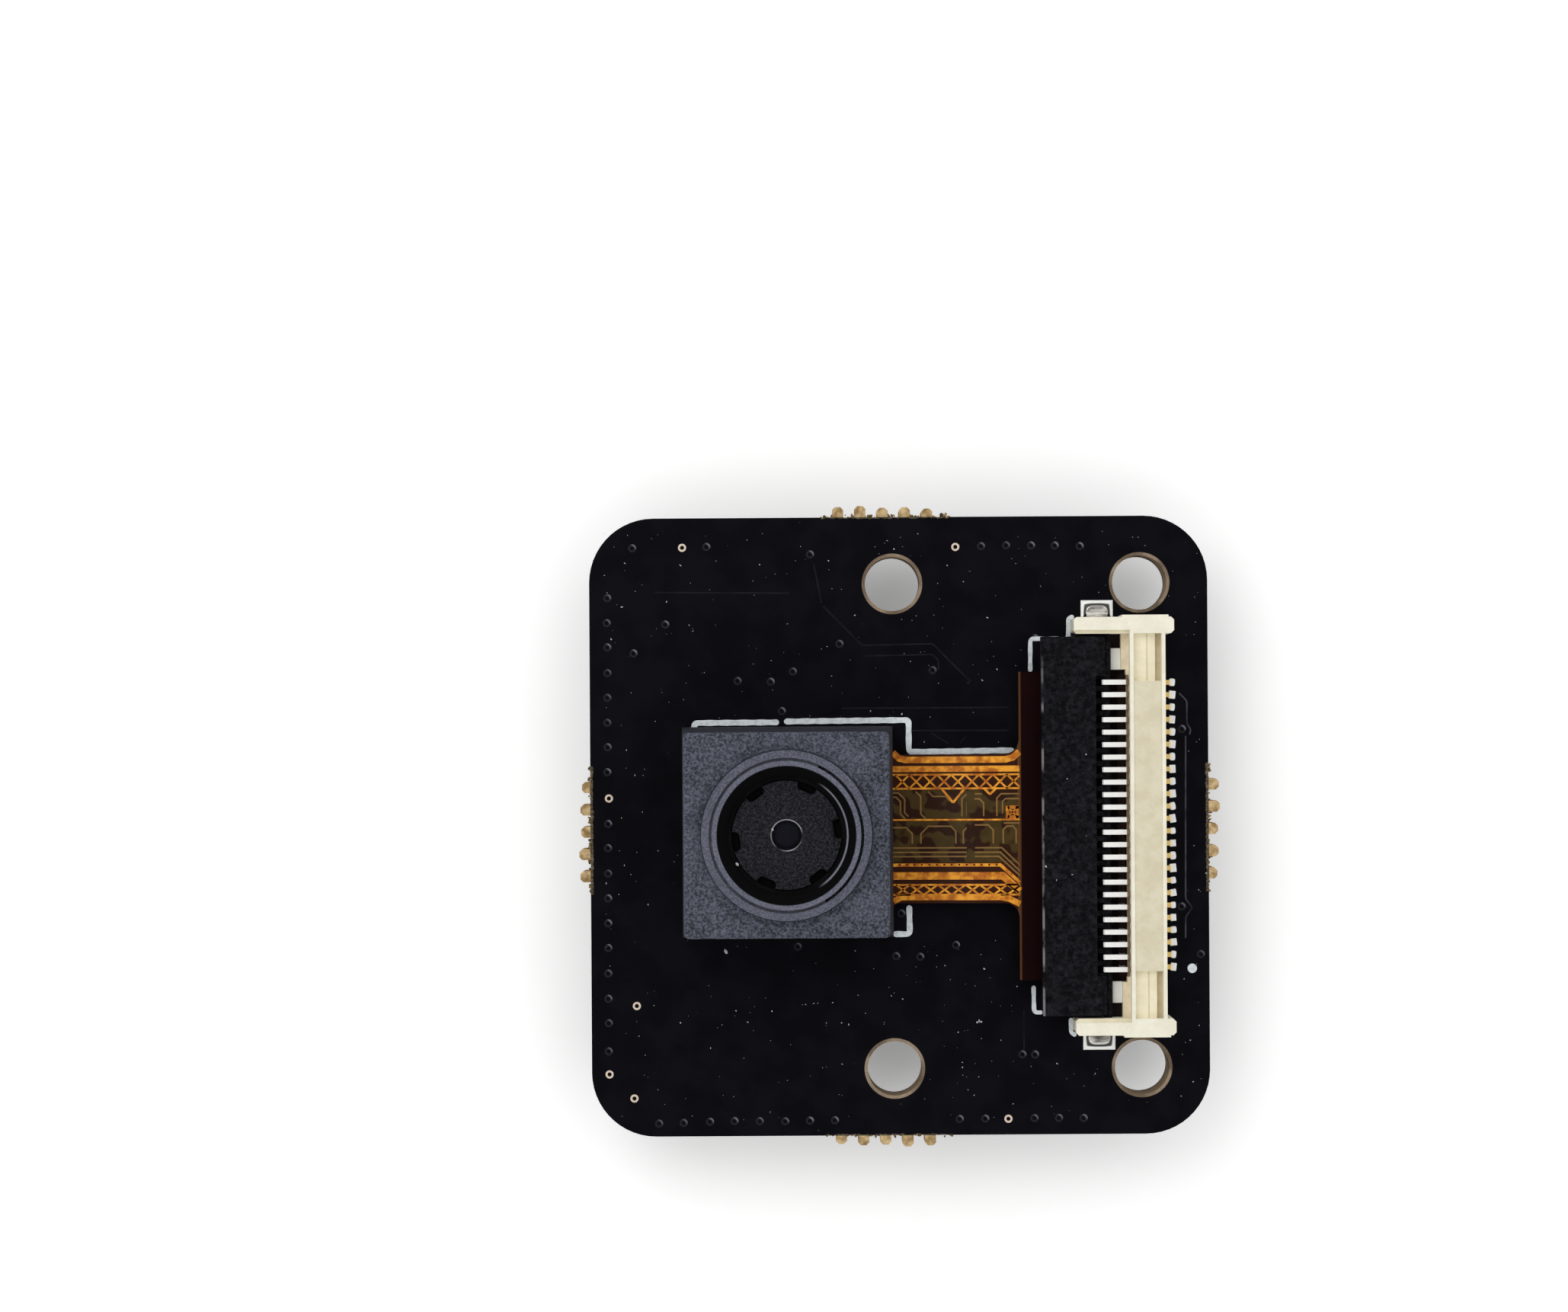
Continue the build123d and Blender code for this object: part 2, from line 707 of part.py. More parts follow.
# Flip lock: a plate with low fingers between the contact beams, turning on a bar and two end pins
with BuildPart() as flip_lock:
    with BuildSketch(film_section):
        with BuildLine():
            Polyline(
                (lock_axis_depth - lock_reach, lock_axis_height - lock_below_axis),
                (lock_axis_depth - lock_heel, lock_axis_height - lock_below_axis),
                (lock_axis_depth - lock_heel, lock_axis_height + lock_above_axis - lock_heel_chamfer),
                (lock_axis_depth - lock_heel - lock_heel_chamfer, lock_axis_height + lock_above_axis),
                (lock_axis_depth - lock_reach + lock_front_chamfer, lock_axis_height + lock_above_axis),
                (lock_axis_depth - lock_reach, lock_axis_height + lock_above_axis - lock_front_chamfer),
                close=True,
            )
        make_face()
    extrude(amount=lock_half_width, both=True)
    with BuildSketch(film_section):
        span(
            lock_axis_depth - lock_slot_end,
            lock_axis_depth,
            lock_axis_height + lock_finger_height,
            lock_axis_height + lock_above_axis,
        )
    extrude(amount=contact_count * contact_pitch / 2, both=True, mode=Mode.SUBTRACT)
    with BuildSketch(above_board(lock_axis_height - lock_below_axis)):
        with Locations((film_x + lock_axis_depth - lock_slot_end / 2, 0)):
            with GridLocations(contact_pitch, contact_pitch, 1, contact_count):
                Rectangle(lock_slot_end, lock_slot_width)
    extrude(amount=lock_below_axis + lock_above_axis, mode=Mode.SUBTRACT)
    with BuildSketch(film_section):
        with Locations((lock_axis_depth, lock_axis_height)):
            RegularPolygon(lock_bar_radius, lock_bar_sides)
    extrude(amount=lock_half_width, both=True)
    with BuildSketch(film_section):
        with Locations((lock_axis_depth, lock_axis_height)):
            Circle(lock_pin_radius)
    extrude(amount=film_inner_half + lock_pin_length, both=True)
save(flip_lock, "flip_lock")

# Contacts of the host connector: forks round the cable and the lock's tongue
def host_contact_outline():
    """Side view of one host contact, in the sketch that is open."""
    Polyline(
        (host_depth + host_tail_length, 0),
        (host_depth + host_tail_length, host_tail_height),
        (host_stem_rear, host_tail_height),
        (host_stem_rear, host_cavity_top + host_arm_thickness),
        (host_arm_tip_depth, host_cavity_top + host_arm_thickness),
        (host_arm_tip_depth, host_cavity_top),
        (host_cavity_depth, host_cavity_top),
        (host_cavity_depth, host_cavity_base),
        (host_arm_tip_depth + 2 * host_bump_height, host_cavity_base),
        (host_arm_tip_depth + host_bump_height, host_cavity_base + host_bump_height),
        (host_arm_tip_depth, host_cavity_base),
        (host_arm_tip_depth, host_arm_base),
        (host_cavity_depth, host_arm_base),
        (host_cavity_depth, 0),
        close=True,
    )


host_row = [(number - (host_count - 1) / 2) * host_pitch for number in range(host_count)]
host_planes = [host_section.offset(place) for place in host_row]
with BuildPart() as host_connector_contacts:
    with BuildSketch(*host_planes):
        with BuildLine():
            host_contact_outline()
        make_face()
    extrude(amount=host_contact_thickness / 2, both=True)
save(host_connector_contacts, "host_connector_contacts")

# Housing of the host connector, with side grooves for the lock's hooks
groove_base = (host_height - slide_arm_height) / 2
with BuildPart() as host_connector_housing:
    with BuildSketch(below_board(0)):
        span(host_x, host_x + host_depth, -host_width / 2, host_width / 2)
    extrude(amount=host_height)
    chamfer(host_connector_housing.faces().sort_by(Axis.Z)[0].edges(), host_edge_chamfer)
    with BuildSketch(host_section):
        span(0, host_cavity_depth, host_cavity_base, host_cavity_top)
    extrude(amount=host_cavity_width / 2, both=True, mode=Mode.SUBTRACT)
    with BuildSketch(below_board(host_height)):
        with Locations((host_x + host_depth / 2, 0)):
            with GridLocations(host_depth, host_width / host_rib_count, 1, host_rib_count - 1):
                Rectangle(host_depth, host_rib_width)
    extrude(amount=-host_rib_recess, mode=Mode.SUBTRACT)
    groove_depth = slide_hook_depth + slide_hook_gap
    groove_start = slide_arm_length - slide_hook_length - slide_travel - slide_hook_gap
    with BuildSketch(below_board(groove_base - slide_hook_gap)):
        span(
            host_x + groove_start,
            host_x + slide_arm_length + slide_hook_gap,
            host_width / 2 - groove_depth,
            host_width / 2,
        )
        span(
            host_x + groove_start,
            host_x + slide_arm_length + slide_hook_gap,
            -host_width / 2,
            groove_depth - host_width / 2,
        )
    extrude(amount=slide_arm_height + 2 * slide_hook_gap, mode=Mode.SUBTRACT)
    with BuildSketch(*host_planes):
        with BuildLine():
            host_contact_outline()
        make_face()
        offset(amount=host_contact_clearance, kind=Kind.INTERSECTION)
    extrude(amount=host_contact_thickness / 2 + host_contact_clearance, both=True, mode=Mode.SUBTRACT)
save(host_connector_housing, "host_connector_housing")

# Slide lock: a front bar with the cable slot, a wedge tongue and two hooked arms
with BuildPart() as slide_lock:
    with BuildSketch(host_section):
        span(
            -slide_seat_gap - slide_bar_length,
            -slide_seat_gap,
            slide_bar_skirt,
            host_height - slide_bar_skirt,
        )
    extrude(amount=slide_half_width, both=True)
    chamfer(slide_lock.edges().filter_by(Axis.Y).group_by(Axis.X)[0], slide_bar_chamfer)
    tongue_top = host_cavity_top - slide_tongue_gap
    with BuildSketch(host_section):
        with BuildLine():
            Polyline(
                (-slide_seat_gap, tongue_top - slide_tongue_thickness),
                (slide_tongue_length - slide_tongue_thickness, tongue_top - slide_tongue_thickness),
                (slide_tongue_length, tongue_top - slide_tongue_thickness / 2),
                (slide_tongue_length, tongue_top),
                (-slide_seat_gap, tongue_top),
                close=True,
            )
        make_face()
    extrude(amount=host_cavity_width / 2 - slide_tongue_gap, both=True)
    arm_inner = host_width / 2 + slide_arm_gap
    with BuildSketch(below_board(groove_base)):
        for side in (-1, 1):
            arm_middle = (arm_inner + slide_half_width) / 2
            with Locations((host_x + (slide_arm_length - slide_seat_gap) / 2, side * arm_middle)):
                Rectangle(slide_arm_length + slide_seat_gap, slide_half_width - arm_inner)
            hook_middle = host_width / 2 + (slide_arm_gap - slide_hook_depth) / 2
            with Locations((host_x + slide_arm_length - slide_hook_length / 2, side * hook_middle)):
                Rectangle(slide_hook_length, slide_hook_depth + slide_arm_gap)
    extrude(amount=slide_arm_height)
    cable_slot_base = tongue_top - slide_tongue_thickness - cable_slot_height
    with BuildSketch(host_section):
        span(
            -slide_seat_gap - slide_bar_length,
            -slide_seat_gap,
            cable_slot_base,
            cable_slot_base + cable_slot_height,
        )
    extrude(amount=cable_slot_width / 2, both=True, mode=Mode.SUBTRACT)
save(slide_lock, "slide_lock")

# Hold-downs of the host connector: angle tabs against its end faces
with BuildPart() as host_connector_hold_downs:
    host_tab_start = host_x + host_tab_depth
    for side in (-1, 1):
        with BuildSketch(below_board(0)):
            with Locations(
                (host_tab_start + host_tab_length / 2, side * (host_width + host_tab_thickness) / 2)
            ):
                Rectangle(host_tab_length, host_tab_thickness)
        extrude(amount=host_tab_height)
        with BuildSketch(below_board(0)):
            with Locations((host_tab_start + host_tab_length / 2, side * (host_width + host_tab_reach) / 2)):
                Rectangle(host_tab_length, host_tab_reach)
        extrude(amount=host_tab_thickness)
save(host_connector_hold_downs, "host_connector_hold_downs")

# Voltage regulators: drafted bodies on gull-wing leads, three on one side and two on the other
with BuildPart() as regulator_bodies:
    with BuildSketch(below_board(regulator_stand)):
        with Locations(*regulator_places):
            Rectangle(regulator_length, regulator_width)
    extrude(amount=regulator_height - regulator_stand, taper=regulator_draft)
save(regulator_bodies, "regulator_bodies")

body_half = regulator_width / 2
foot_start = body_half + lead_reach - lead_foot_length
with BuildSketch(Plane(origin=(0, 0, 0), x_dir=(0, 1, 0), z_dir=(-1, 0, 0))) as lead_section:
    with BuildLine():
        Polyline(
            (body_half, lead_shoulder),
            (foot_start - lead_thickness, lead_shoulder),
            (foot_start, lead_thickness),
            (body_half + lead_reach, lead_thickness),
            (body_half + lead_reach, 0),
            (foot_start - lead_thickness, 0),
            (foot_start - 2 * lead_thickness, lead_shoulder - lead_thickness),
            (body_half, lead_shoulder - lead_thickness),
            close=True,
        )
    make_face()
with BuildPart() as regulator_leads:
    gull_wing = extrude(lead_section.sketch, amount=lead_width / 2, both=True, mode=Mode.PRIVATE)
    for place_x, place_y in regulator_places:
        for shift, turn in ((-lead_pitch, 0), (0, 0), (lead_pitch, 0), (-lead_pitch, 180), (lead_pitch, 180)):
            add(gull_wing.moved(Location((place_x + shift, place_y, 0), (0, 0, turn))))
save(regulator_leads, "regulator_leads")

# Clock oscillator: ceramic base with a welded metal lid
with BuildPart() as oscillator_base:
    with BuildSketch(below_board(0)):
        with Locations(oscillator_place):
            Rectangle(oscillator_length, oscillator_width)
    extrude(amount=oscillator_height - oscillator_lid_height)
save(oscillator_base, "oscillator_base")

with BuildPart() as oscillator_lid:
    with BuildSketch(below_board(oscillator_height - oscillator_lid_height)) as lid_outline:
        with Locations(oscillator_place):
            Rectangle(
                oscillator_length - 2 * oscillator_lid_inset, oscillator_width - 2 * oscillator_lid_inset
            )
        chamfer(lid_outline.vertices(), oscillator_lid_inset)
    extrude(amount=oscillator_lid_height)
save(oscillator_lid, "oscillator_lid")


def chip_body(places, length, width, height):
    """Bodies of two-terminal chips lying along X, one at each place."""
    with BuildPart() as bodies:
        with BuildSketch(below_board(chip_cap_thickness)):
            with Locations(*places):
                Rectangle(length - 2 * chip_cap_thickness, width - 2 * chip_cap_thickness)
        extrude(amount=height - 2 * chip_cap_thickness)
    return bodies


def chip_caps(places, length, width, height, cap_length):
    """Plated ends round those bodies, with the body's space left open."""
    with BuildPart() as caps:
        with BuildSketch(below_board(0)):
            for place_x, place_y in places:
                cap_shift = (length - cap_length) / 2
                with Locations((place_x - cap_shift, place_y), (place_x + cap_shift, place_y)):
                    Rectangle(cap_length, width)
        extrude(amount=height)
        add(chip_body(places, length, width, height).part, mode=Mode.SUBTRACT)
    return caps


save(chip_body(capacitor_places, chip_length, chip_width, chip_height), "capacitor_bodies")
save(chip_caps(capacitor_places, chip_length, chip_width, chip_height, chip_cap_length), "capacitor_caps")
save(chip_body(resistor_places, chip_length, chip_width, resistor_height), "resistor_bodies")
save(chip_caps(resistor_places, chip_length, chip_width, resistor_height, chip_cap_length), "resistor_caps")
save(chip_body((ferrite_place,), ferrite_length, ferrite_width, ferrite_height), "ferrite_body")
save(
    chip_caps((ferrite_place,), ferrite_length, ferrite_width, ferrite_height, ferrite_cap_length),
    "ferrite_caps",
)
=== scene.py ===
import math
import random

import bmesh
import bpy
from mathutils import Matrix, Vector


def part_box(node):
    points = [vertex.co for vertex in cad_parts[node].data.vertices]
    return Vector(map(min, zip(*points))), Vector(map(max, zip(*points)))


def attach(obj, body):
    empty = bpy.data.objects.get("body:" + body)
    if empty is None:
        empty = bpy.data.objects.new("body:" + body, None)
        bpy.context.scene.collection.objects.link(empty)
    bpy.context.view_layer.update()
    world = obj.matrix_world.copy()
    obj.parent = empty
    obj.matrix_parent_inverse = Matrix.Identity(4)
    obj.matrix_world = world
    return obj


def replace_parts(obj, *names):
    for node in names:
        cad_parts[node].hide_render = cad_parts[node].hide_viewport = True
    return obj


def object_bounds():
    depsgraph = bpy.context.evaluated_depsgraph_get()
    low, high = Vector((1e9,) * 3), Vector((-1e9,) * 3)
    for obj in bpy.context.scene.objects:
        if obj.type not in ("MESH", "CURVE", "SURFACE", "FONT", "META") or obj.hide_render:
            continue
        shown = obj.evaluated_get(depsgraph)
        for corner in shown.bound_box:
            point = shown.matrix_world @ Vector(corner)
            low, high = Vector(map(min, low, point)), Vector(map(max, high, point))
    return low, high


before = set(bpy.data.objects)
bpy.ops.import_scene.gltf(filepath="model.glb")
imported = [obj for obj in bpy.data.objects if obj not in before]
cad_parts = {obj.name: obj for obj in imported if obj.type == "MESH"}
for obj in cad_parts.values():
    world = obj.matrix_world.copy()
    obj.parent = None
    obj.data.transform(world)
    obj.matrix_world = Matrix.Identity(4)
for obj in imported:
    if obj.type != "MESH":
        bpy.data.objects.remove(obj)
cad_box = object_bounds()

# Carrier board: glass laminate with black solder mask on both faces, routed out of a panel and snapped
# off at small drilled tabs. The cut edges, the hole walls and a thin ring round each hole are bare
# laminate, and a rough tan strip shows where the tabs were.
MM = 0.001
board_low, board_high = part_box("circuit_board")
board_top = board_high.z
hole_place_x = 5.0
hole_place_y = 9.8
hole_ring_radius = 1.225
stub_reach = 0.46
stub_row_half = 2.6
stub_row_x = -5.26
stub_row_y = -0.1
board_half = (board_high.x - board_low.x) / 2 / MM - stub_reach
board_centre_x = (board_high.x + board_low.x) / 2 / MM


def linear(red, green, blue):
    """A screen colour from 0 to 255 as the linear colour that a shader takes."""
    return tuple(
        value / 255 / 12.92 if value <= 10 else ((value / 255 + 0.055) / 1.055) ** 2.4
        for value in (red, green, blue)
    ) + (1.0,)


def add_node(tree, kind, inputs=None, **settings):
    """A node with its settings made, and its inputs set or linked."""
    node = tree.nodes.new(kind)
    for name, value in settings.items():
        setattr(node, name, value)
    for key, value in (inputs or {}).items():
        if isinstance(value, bpy.types.NodeSocket):
            tree.links.new(value, node.inputs[key])
        else:
            node.inputs[key].default_value = value
    return node


def work_out(tree, operation, first, second=0.0):
    """One step of arithmetic on numbers or sockets."""
    return add_node(tree, "ShaderNodeMath", {0: first, 1: second}, operation=operation).outputs[0]


def times(tree, first, second):
    """Two numbers multiplied, or the mask where both masks hold."""
    return work_out(tree, "MULTIPLY", first, second)


def either(tree, first, second):
    """The larger of two numbers, or the mask where one of two holds."""
    return work_out(tree, "MAXIMUM", first, second)


def below(tree, value, limit):
    """1 where the value is under the limit and 0 elsewhere."""
    return work_out(tree, "LESS_THAN", value, limit)


def apart(tree, value, middle):
    """How far a number is from the middle, to either side."""
    return work_out(tree, "ABSOLUTE", work_out(tree, "SUBTRACT", value, middle))


def vector_work(tree, operation, first, second=(0.0, 0.0, 0.0)):
    """One step of arithmetic on places. A length or a dot product is a number."""
    step = add_node(tree, "ShaderNodeVectorMath", {0: first, 1: second}, operation=operation)
    return step.outputs["Value" if operation in ("LENGTH", "DOT_PRODUCT") else "Vector"]


def fade(tree, value, low, high):
    """0 below low, 1 above high and smooth between; low may be the larger."""
    span = {"Value": value, "From Min": low, "From Max": high}
    return add_node(tree, "ShaderNodeMapRange", span, interpolation_type="SMOOTHSTEP").outputs[0]


def mix_colours(tree, factor, first, second):
    """From the first colour at factor 0 to the second at 1. Three numbers are a screen colour."""
    ends = [linear(*end) if isinstance(end, tuple) and len(end) == 3 else end for end in (first, second)]
    return add_node(tree, "ShaderNodeMix", {0: factor, 6: ends[0], 7: ends[1]}, data_type="RGBA").outputs[2]


def noise(tree, place, scale, detail=2.0, roughness=0.5):
    """Cloudy noise from 0 to 1, with scale in lumps to the millimetre."""
    lumps = {"Vector": place, "Scale": scale, "Detail": detail, "Roughness": roughness}
    return add_node(tree, "ShaderNodeTexNoise", lumps).outputs[0]


def split(tree, place):
    """The three numbers of a place or a direction."""
    return add_node(tree, "ShaderNodeSeparateXYZ", {0: place}).outputs


def upward(tree):
    """How far the surface faces up, from -1 to 1."""
    return split(tree, add_node(tree, "ShaderNodeNewGeometry").outputs["Normal"])[2]


def new_finish(name, sockets):
    """A material with its even values on the shader's sockets, and the surface's place in millimetres."""
    finish = bpy.data.materials.new(name)
    finish.use_nodes = True
    tree = finish.node_tree
    shader = tree.nodes["Principled BSDF"]
    for key, value in sockets.items():
        shader.inputs[key].default_value = value
    place = add_node(tree, "ShaderNodeTexCoord").outputs["Object"]
    scaled = add_node(tree, "ShaderNodeVectorMath", {0: place, "Scale": 1 / MM}, operation="SCALE")
    return finish, tree, shader, scaled.outputs[0]


def feed(tree, shader, socket, value):
    """Links a colour, a number or a normal to a socket of the shader."""
    tree.links.new(value, shader.inputs[socket])


def paint(tree, shader, factor, first, second):
    """The surface's colour, mixed by the factor."""
    feed(tree, shader, "Base Color", mix_colours(tree, factor, first, second))


def roughen(tree, shader, factor, least, more):
    """The surface's roughness: the least of it, and more where the factor is 1."""
    feed(tree, shader, "Roughness", work_out(tree, "ADD", least, times(tree, factor, more)))


def emboss(tree, shader, height, depth):
    """Relief of the surface, with its depth in millimetres."""
    bump = add_node(tree, "ShaderNodeBump", {"Height": height, "Distance": depth * MM, "Strength": 1.0})
    feed(tree, shader, "Normal", bump.outputs[0])


def effect_group(name, inputs):
    """An empty shader group with a place, named numbers in and one mask out."""
    group = bpy.data.node_groups.new(name, "ShaderNodeTree")
    group.interface.new_socket("Place", in_out="INPUT", socket_type="NodeSocketVector")
    for key, value in inputs.items():
        socket = group.interface.new_socket(key, in_out="INPUT", socket_type="NodeSocketFloat")
        socket.default_value = value
    group.interface.new_socket("Mask", in_out="OUTPUT", socket_type="NodeSocketFloat")
    return group, group.nodes.new("NodeGroupInput").outputs, group.nodes.new("NodeGroupOutput").inputs


dust_specks, given, result = effect_group("dust_specks", {"Spacing": 1.0, "Radius": 0.05, "Share": 0.5})
cell_scale = work_out(dust_specks, "DIVIDE", 1.0, given["Spacing"])
cell_inputs = {"Vector": given["Place"], "Scale": cell_scale}
cells = add_node(dust_specks, "ShaderNodeTexVoronoi", cell_inputs).outputs
speck_random = split(dust_specks, cells["Color"])
speck_radius = times(dust_specks, given["Radius"], speck_random[0])
speck_shape = below(dust_specks, times(dust_specks, cells["Distance"], given["Spacing"]), speck_radius)
speck_chosen = below(dust_specks, speck_random[1], given["Share"])
dust_specks.links.new(times(dust_specks, speck_shape, speck_chosen), result["Mask"])


def specks(tree, place, spacing, radius, share):
    """The mask of the shared specks, with this finish's own spacing and size in millimetres."""
    values = {"Place": place, "Spacing": spacing, "Radius": radius, "Share": share}
    return add_node(tree, "ShaderNodeGroup", values, node_tree=dust_specks).outputs["Mask"]


def drawn_out(tree, place, degrees, stretch):
    """The place turned and squeezed, so that round specks on it become straight scratches."""
    turned = {"Vector": place, "Rotation": (0.0, 0.0, math.radians(degrees)), "Scale": (1 / stretch, 1, 1)}
    return add_node(tree, "ShaderNodeMapping", turned).outputs[0]


solder_mask, tree, shader, place = new_finish("solder_mask", {"Specular IOR Level": 0.05})
place_x, place_y, place_z = split(tree, place)
cut_side = below(tree, work_out(tree, "ABSOLUTE", upward(tree)), 0.5)
from_hole_x = work_out(tree, "SUBTRACT", work_out(tree, "ABSOLUTE", place_x), hole_place_x)
from_hole_y = work_out(tree, "SUBTRACT", work_out(tree, "ABSOLUTE", place_y), hole_place_y)
from_hole = add_node(tree, "ShaderNodeCombineXYZ", {0: from_hole_x, 1: from_hole_y}).outputs[0]
hole_ring = below(tree, vector_work(tree, "LENGTH", from_hole), hole_ring_radius)
inside_x = work_out(tree, "SUBTRACT", board_half, apart(tree, place_x, board_centre_x))
inside_y = work_out(tree, "SUBTRACT", board_half, work_out(tree, "ABSOLUTE", place_y))
ragged = times(tree, fade(tree, noise(tree, place, 5.0, 3.0), 0.25, 0.75), 0.2)
tab_strips = []
for inside, across, row_middle, least, most in (
    (inside_x, place_y, stub_row_y, 0.08, 0.3),
    (inside_y, place_x, stub_row_x, 0.01, 0.35),
):
    near_edge = below(tree, inside, work_out(tree, "ADD", least, times(tree, ragged, most)))
    tab_strips.append(times(tree, near_edge, below(tree, apart(tree, across, row_middle), stub_row_half)))
strip = either(tree, *tab_strips)
stub = below(tree, work_out(tree, "MINIMUM", inside_x, inside_y), -0.01)
weave = fade(tree, noise(tree, place, 9.0, 4.0, 0.7), 0.38, 0.62)
broad = fade(tree, noise(tree, place, 0.8, 2.0), 0.35, 0.65)
colour = mix_colours(tree, broad, (8, 7, 12), (13, 12, 18))
colour = mix_colours(tree, specks(tree, place, 0.3, 0.028, 0.1), colour, (58, 58, 66))
for degrees, share in ((24.0, 0.035), (-62.0, 0.03)):
    scratch = specks(tree, drawn_out(tree, place, degrees, 16.0), 0.5, 0.02, share)
    colour = mix_colours(tree, scratch, colour, (42, 42, 50))
colour = mix_colours(tree, strip, colour, mix_colours(tree, weave, (66, 58, 46), (116, 104, 84)))
colour = mix_colours(tree, cut_side, colour, mix_colours(tree, weave, (52, 41, 29), (108, 88, 62)))
colour = mix_colours(tree, hole_ring, colour, mix_colours(tree, broad, (112, 96, 80), (158, 140, 118)))
glassy = fade(tree, noise(tree, place, 3.5, 3.0), 0.3, 0.7)
paint(tree, shader, stub, colour, mix_colours(tree, glassy, (150, 122, 80), (218, 190, 144)))
bare = either(tree, either(tree, strip, stub), either(tree, hole_ring, cut_side))
roughen(tree, shader, bare, 0.38, 0.45)
mask_ripple = times(tree, noise(tree, place, 3.0), 0.15)
emboss(tree, shader, work_out(tree, "ADD", mask_ripple, times(tree, bare, weave)), 0.02)


def clothe(node, finish):
    """Gives a carried-over solid its finish."""
    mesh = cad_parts[node].data
    mesh.materials.clear()
    mesh.materials.append(finish)


clothe("circuit_board", solder_mask)

# Splinters where the tabs snapped: short broken strands of glass along the rough strip between the stubs,
# tan where the resin is whole and dark where it charred under the cutter.
splinter_count = 64
splinter_seed = 7
splinter_length = 0.1
splinter_radius = 0.03


def mottled(name, sockets, lumps, dark, light, ends=None, rough=None, depth=0.0, own_lumps=None):
    """A finish that drifts between two colours. Lumps are the scale, detail and roughness of the noise. The
    surface's roughness follows the drift, and so does its relief, or the relief has lumps of its own."""
    finish, tree, shader, place = new_finish(name, sockets)
    drift = noise(tree, place, *lumps)
    if ends:
        drift = fade(tree, drift, *ends)
    paint(tree, shader, drift, dark, light)
    if rough:
        roughen(tree, shader, drift, *rough)
    if depth:
        emboss(tree, shader, noise(tree, place, *own_lumps) if own_lumps else drift, depth)
    return finish


def add_piece(name, mesh, finish, record_slot, body="module", smooth=False):
    """A finished mesh as a piece that moves with its body."""
    mesh.name = name
    mesh.materials.clear()
    mesh.materials.append(finish)
    mesh.polygons.foreach_set("use_smooth", [smooth] * len(mesh.polygons))
    piece = bpy.data.objects.new(name, mesh)
    bpy.context.scene.collection.objects.link(piece)
    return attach(piece, body)


def pattern_tree(name, inputs):
    """An empty geometry tree with named inputs."""
    tree = bpy.data.node_groups.new(name, "GeometryNodeTree")
    for key, kind in {"Geometry": "Geometry", **inputs, "Finish": "Material"}.items():
        tree.interface.new_socket(key, in_out="INPUT", socket_type="NodeSocket" + kind)
    tree.interface.new_socket("Geometry", in_out="OUTPUT", socket_type="NodeSocketGeometry")
    return tree, tree.nodes.new("NodeGroupInput").outputs


def random_vector(tree, low, high, seed):
    """A random vector for each point."""
    ends = {0: low, 1: high, "Seed": seed}
    return add_node(tree, "FunctionNodeRandomValue", ends, data_type="FLOAT_VECTOR").outputs[0]


def plant(tree, given, shape, **placing):
    """Ends a tree with a copy of the shape on each point, Realize Instances and Set Material."""
    places = {"Points": given["Geometry"], "Instance": shape, **placing}
    copies = add_node(tree, "GeometryNodeInstanceOnPoints", places).outputs[0]
    solid = add_node(tree, "GeometryNodeRealizeInstances", {"Geometry": copies}).outputs[0]
    painted = add_node(tree, "GeometryNodeSetMaterial", {"Geometry": solid, "Material": given["Finish"]})
    tree.links.new(painted.outputs[0], tree.nodes.new("NodeGroupOutput").inputs["Geometry"])


def grow(tree, points, values, finish, sizes=None):
    """The mesh that a geometry tree makes on a set of points, which may each have a size."""
    cloud = bpy.data.meshes.new("points")
    cloud.from_pydata([Vector(point) * MM for point in points], [], [])
    if sizes:
        cloud.attributes.new("size", "FLOAT", "POINT").data.foreach_set("value", sizes)
    holder = bpy.data.objects.new("points", cloud)
    bpy.context.scene.collection.objects.link(holder)
    pattern = holder.modifiers.new("pattern", "NODES")
    pattern.node_group = tree
    sockets = {item.name: item.identifier for item in tree.interface.items_tree if item.in_out == "INPUT"}
    for key, value in {**values, "Finish": finish}.items():
        pattern[sockets[key]] = value
    evaluated = holder.evaluated_get(bpy.context.evaluated_depsgraph_get())
    mesh = bpy.data.meshes.new_from_object(evaluated)
    bpy.data.objects.remove(holder)
    return mesh


def along_tabs(chance, count, nearest, furthest, lowest, highest):
    """Places on the board's four edges, in turn, where its tabs were."""
    for number in range(count):
        along = chance.uniform(-stub_row_half, stub_row_half)
        out = board_half + chance.uniform(nearest, furthest)
        height = chance.uniform(lowest, highest) * board_top / MM
        yield (
            (stub_row_x + along, out, height),
            (stub_row_x + along, -out, height),
            (board_centre_x - out, stub_row_y + along, height),
            (board_centre_x + out, stub_row_y + along, height),
        )[number % 4]


splinter_tree, given = pattern_tree("snapped_fibres", {"Length": "Float", "Radius": "Float", "Seed": "Int"})
spike = {"Vertices": 5, "Radius Top": 0.0, "Radius Bottom": given["Radius"], "Depth": given["Length"]}
strand = add_node(splinter_tree, "GeometryNodeMeshCone", spike).outputs["Mesh"]
lean = random_vector(splinter_tree, (0.0, 0.0, 0.0), (6.3, 6.3, 6.3), given["Seed"])
size_span = {2: 0.35, 3: 1.0, "Seed": given["Seed"]}
strand_size = add_node(splinter_tree, "FunctionNodeRandomValue", size_span, data_type="FLOAT").outputs[1]
plant(splinter_tree, given, strand, Rotation=lean, Scale=strand_size)
fibre = mottled(
    "snapped_fibre",
    {"Roughness": 0.8, "Specular IOR Level": 0.3},
    (5.0, 3.0),
    (168, 142, 98),
    (66, 54, 36),
    ends=(0.42, 0.6),
    depth=0.02,
    own_lumps=(30.0,),
)
chance = random.Random(splinter_seed)
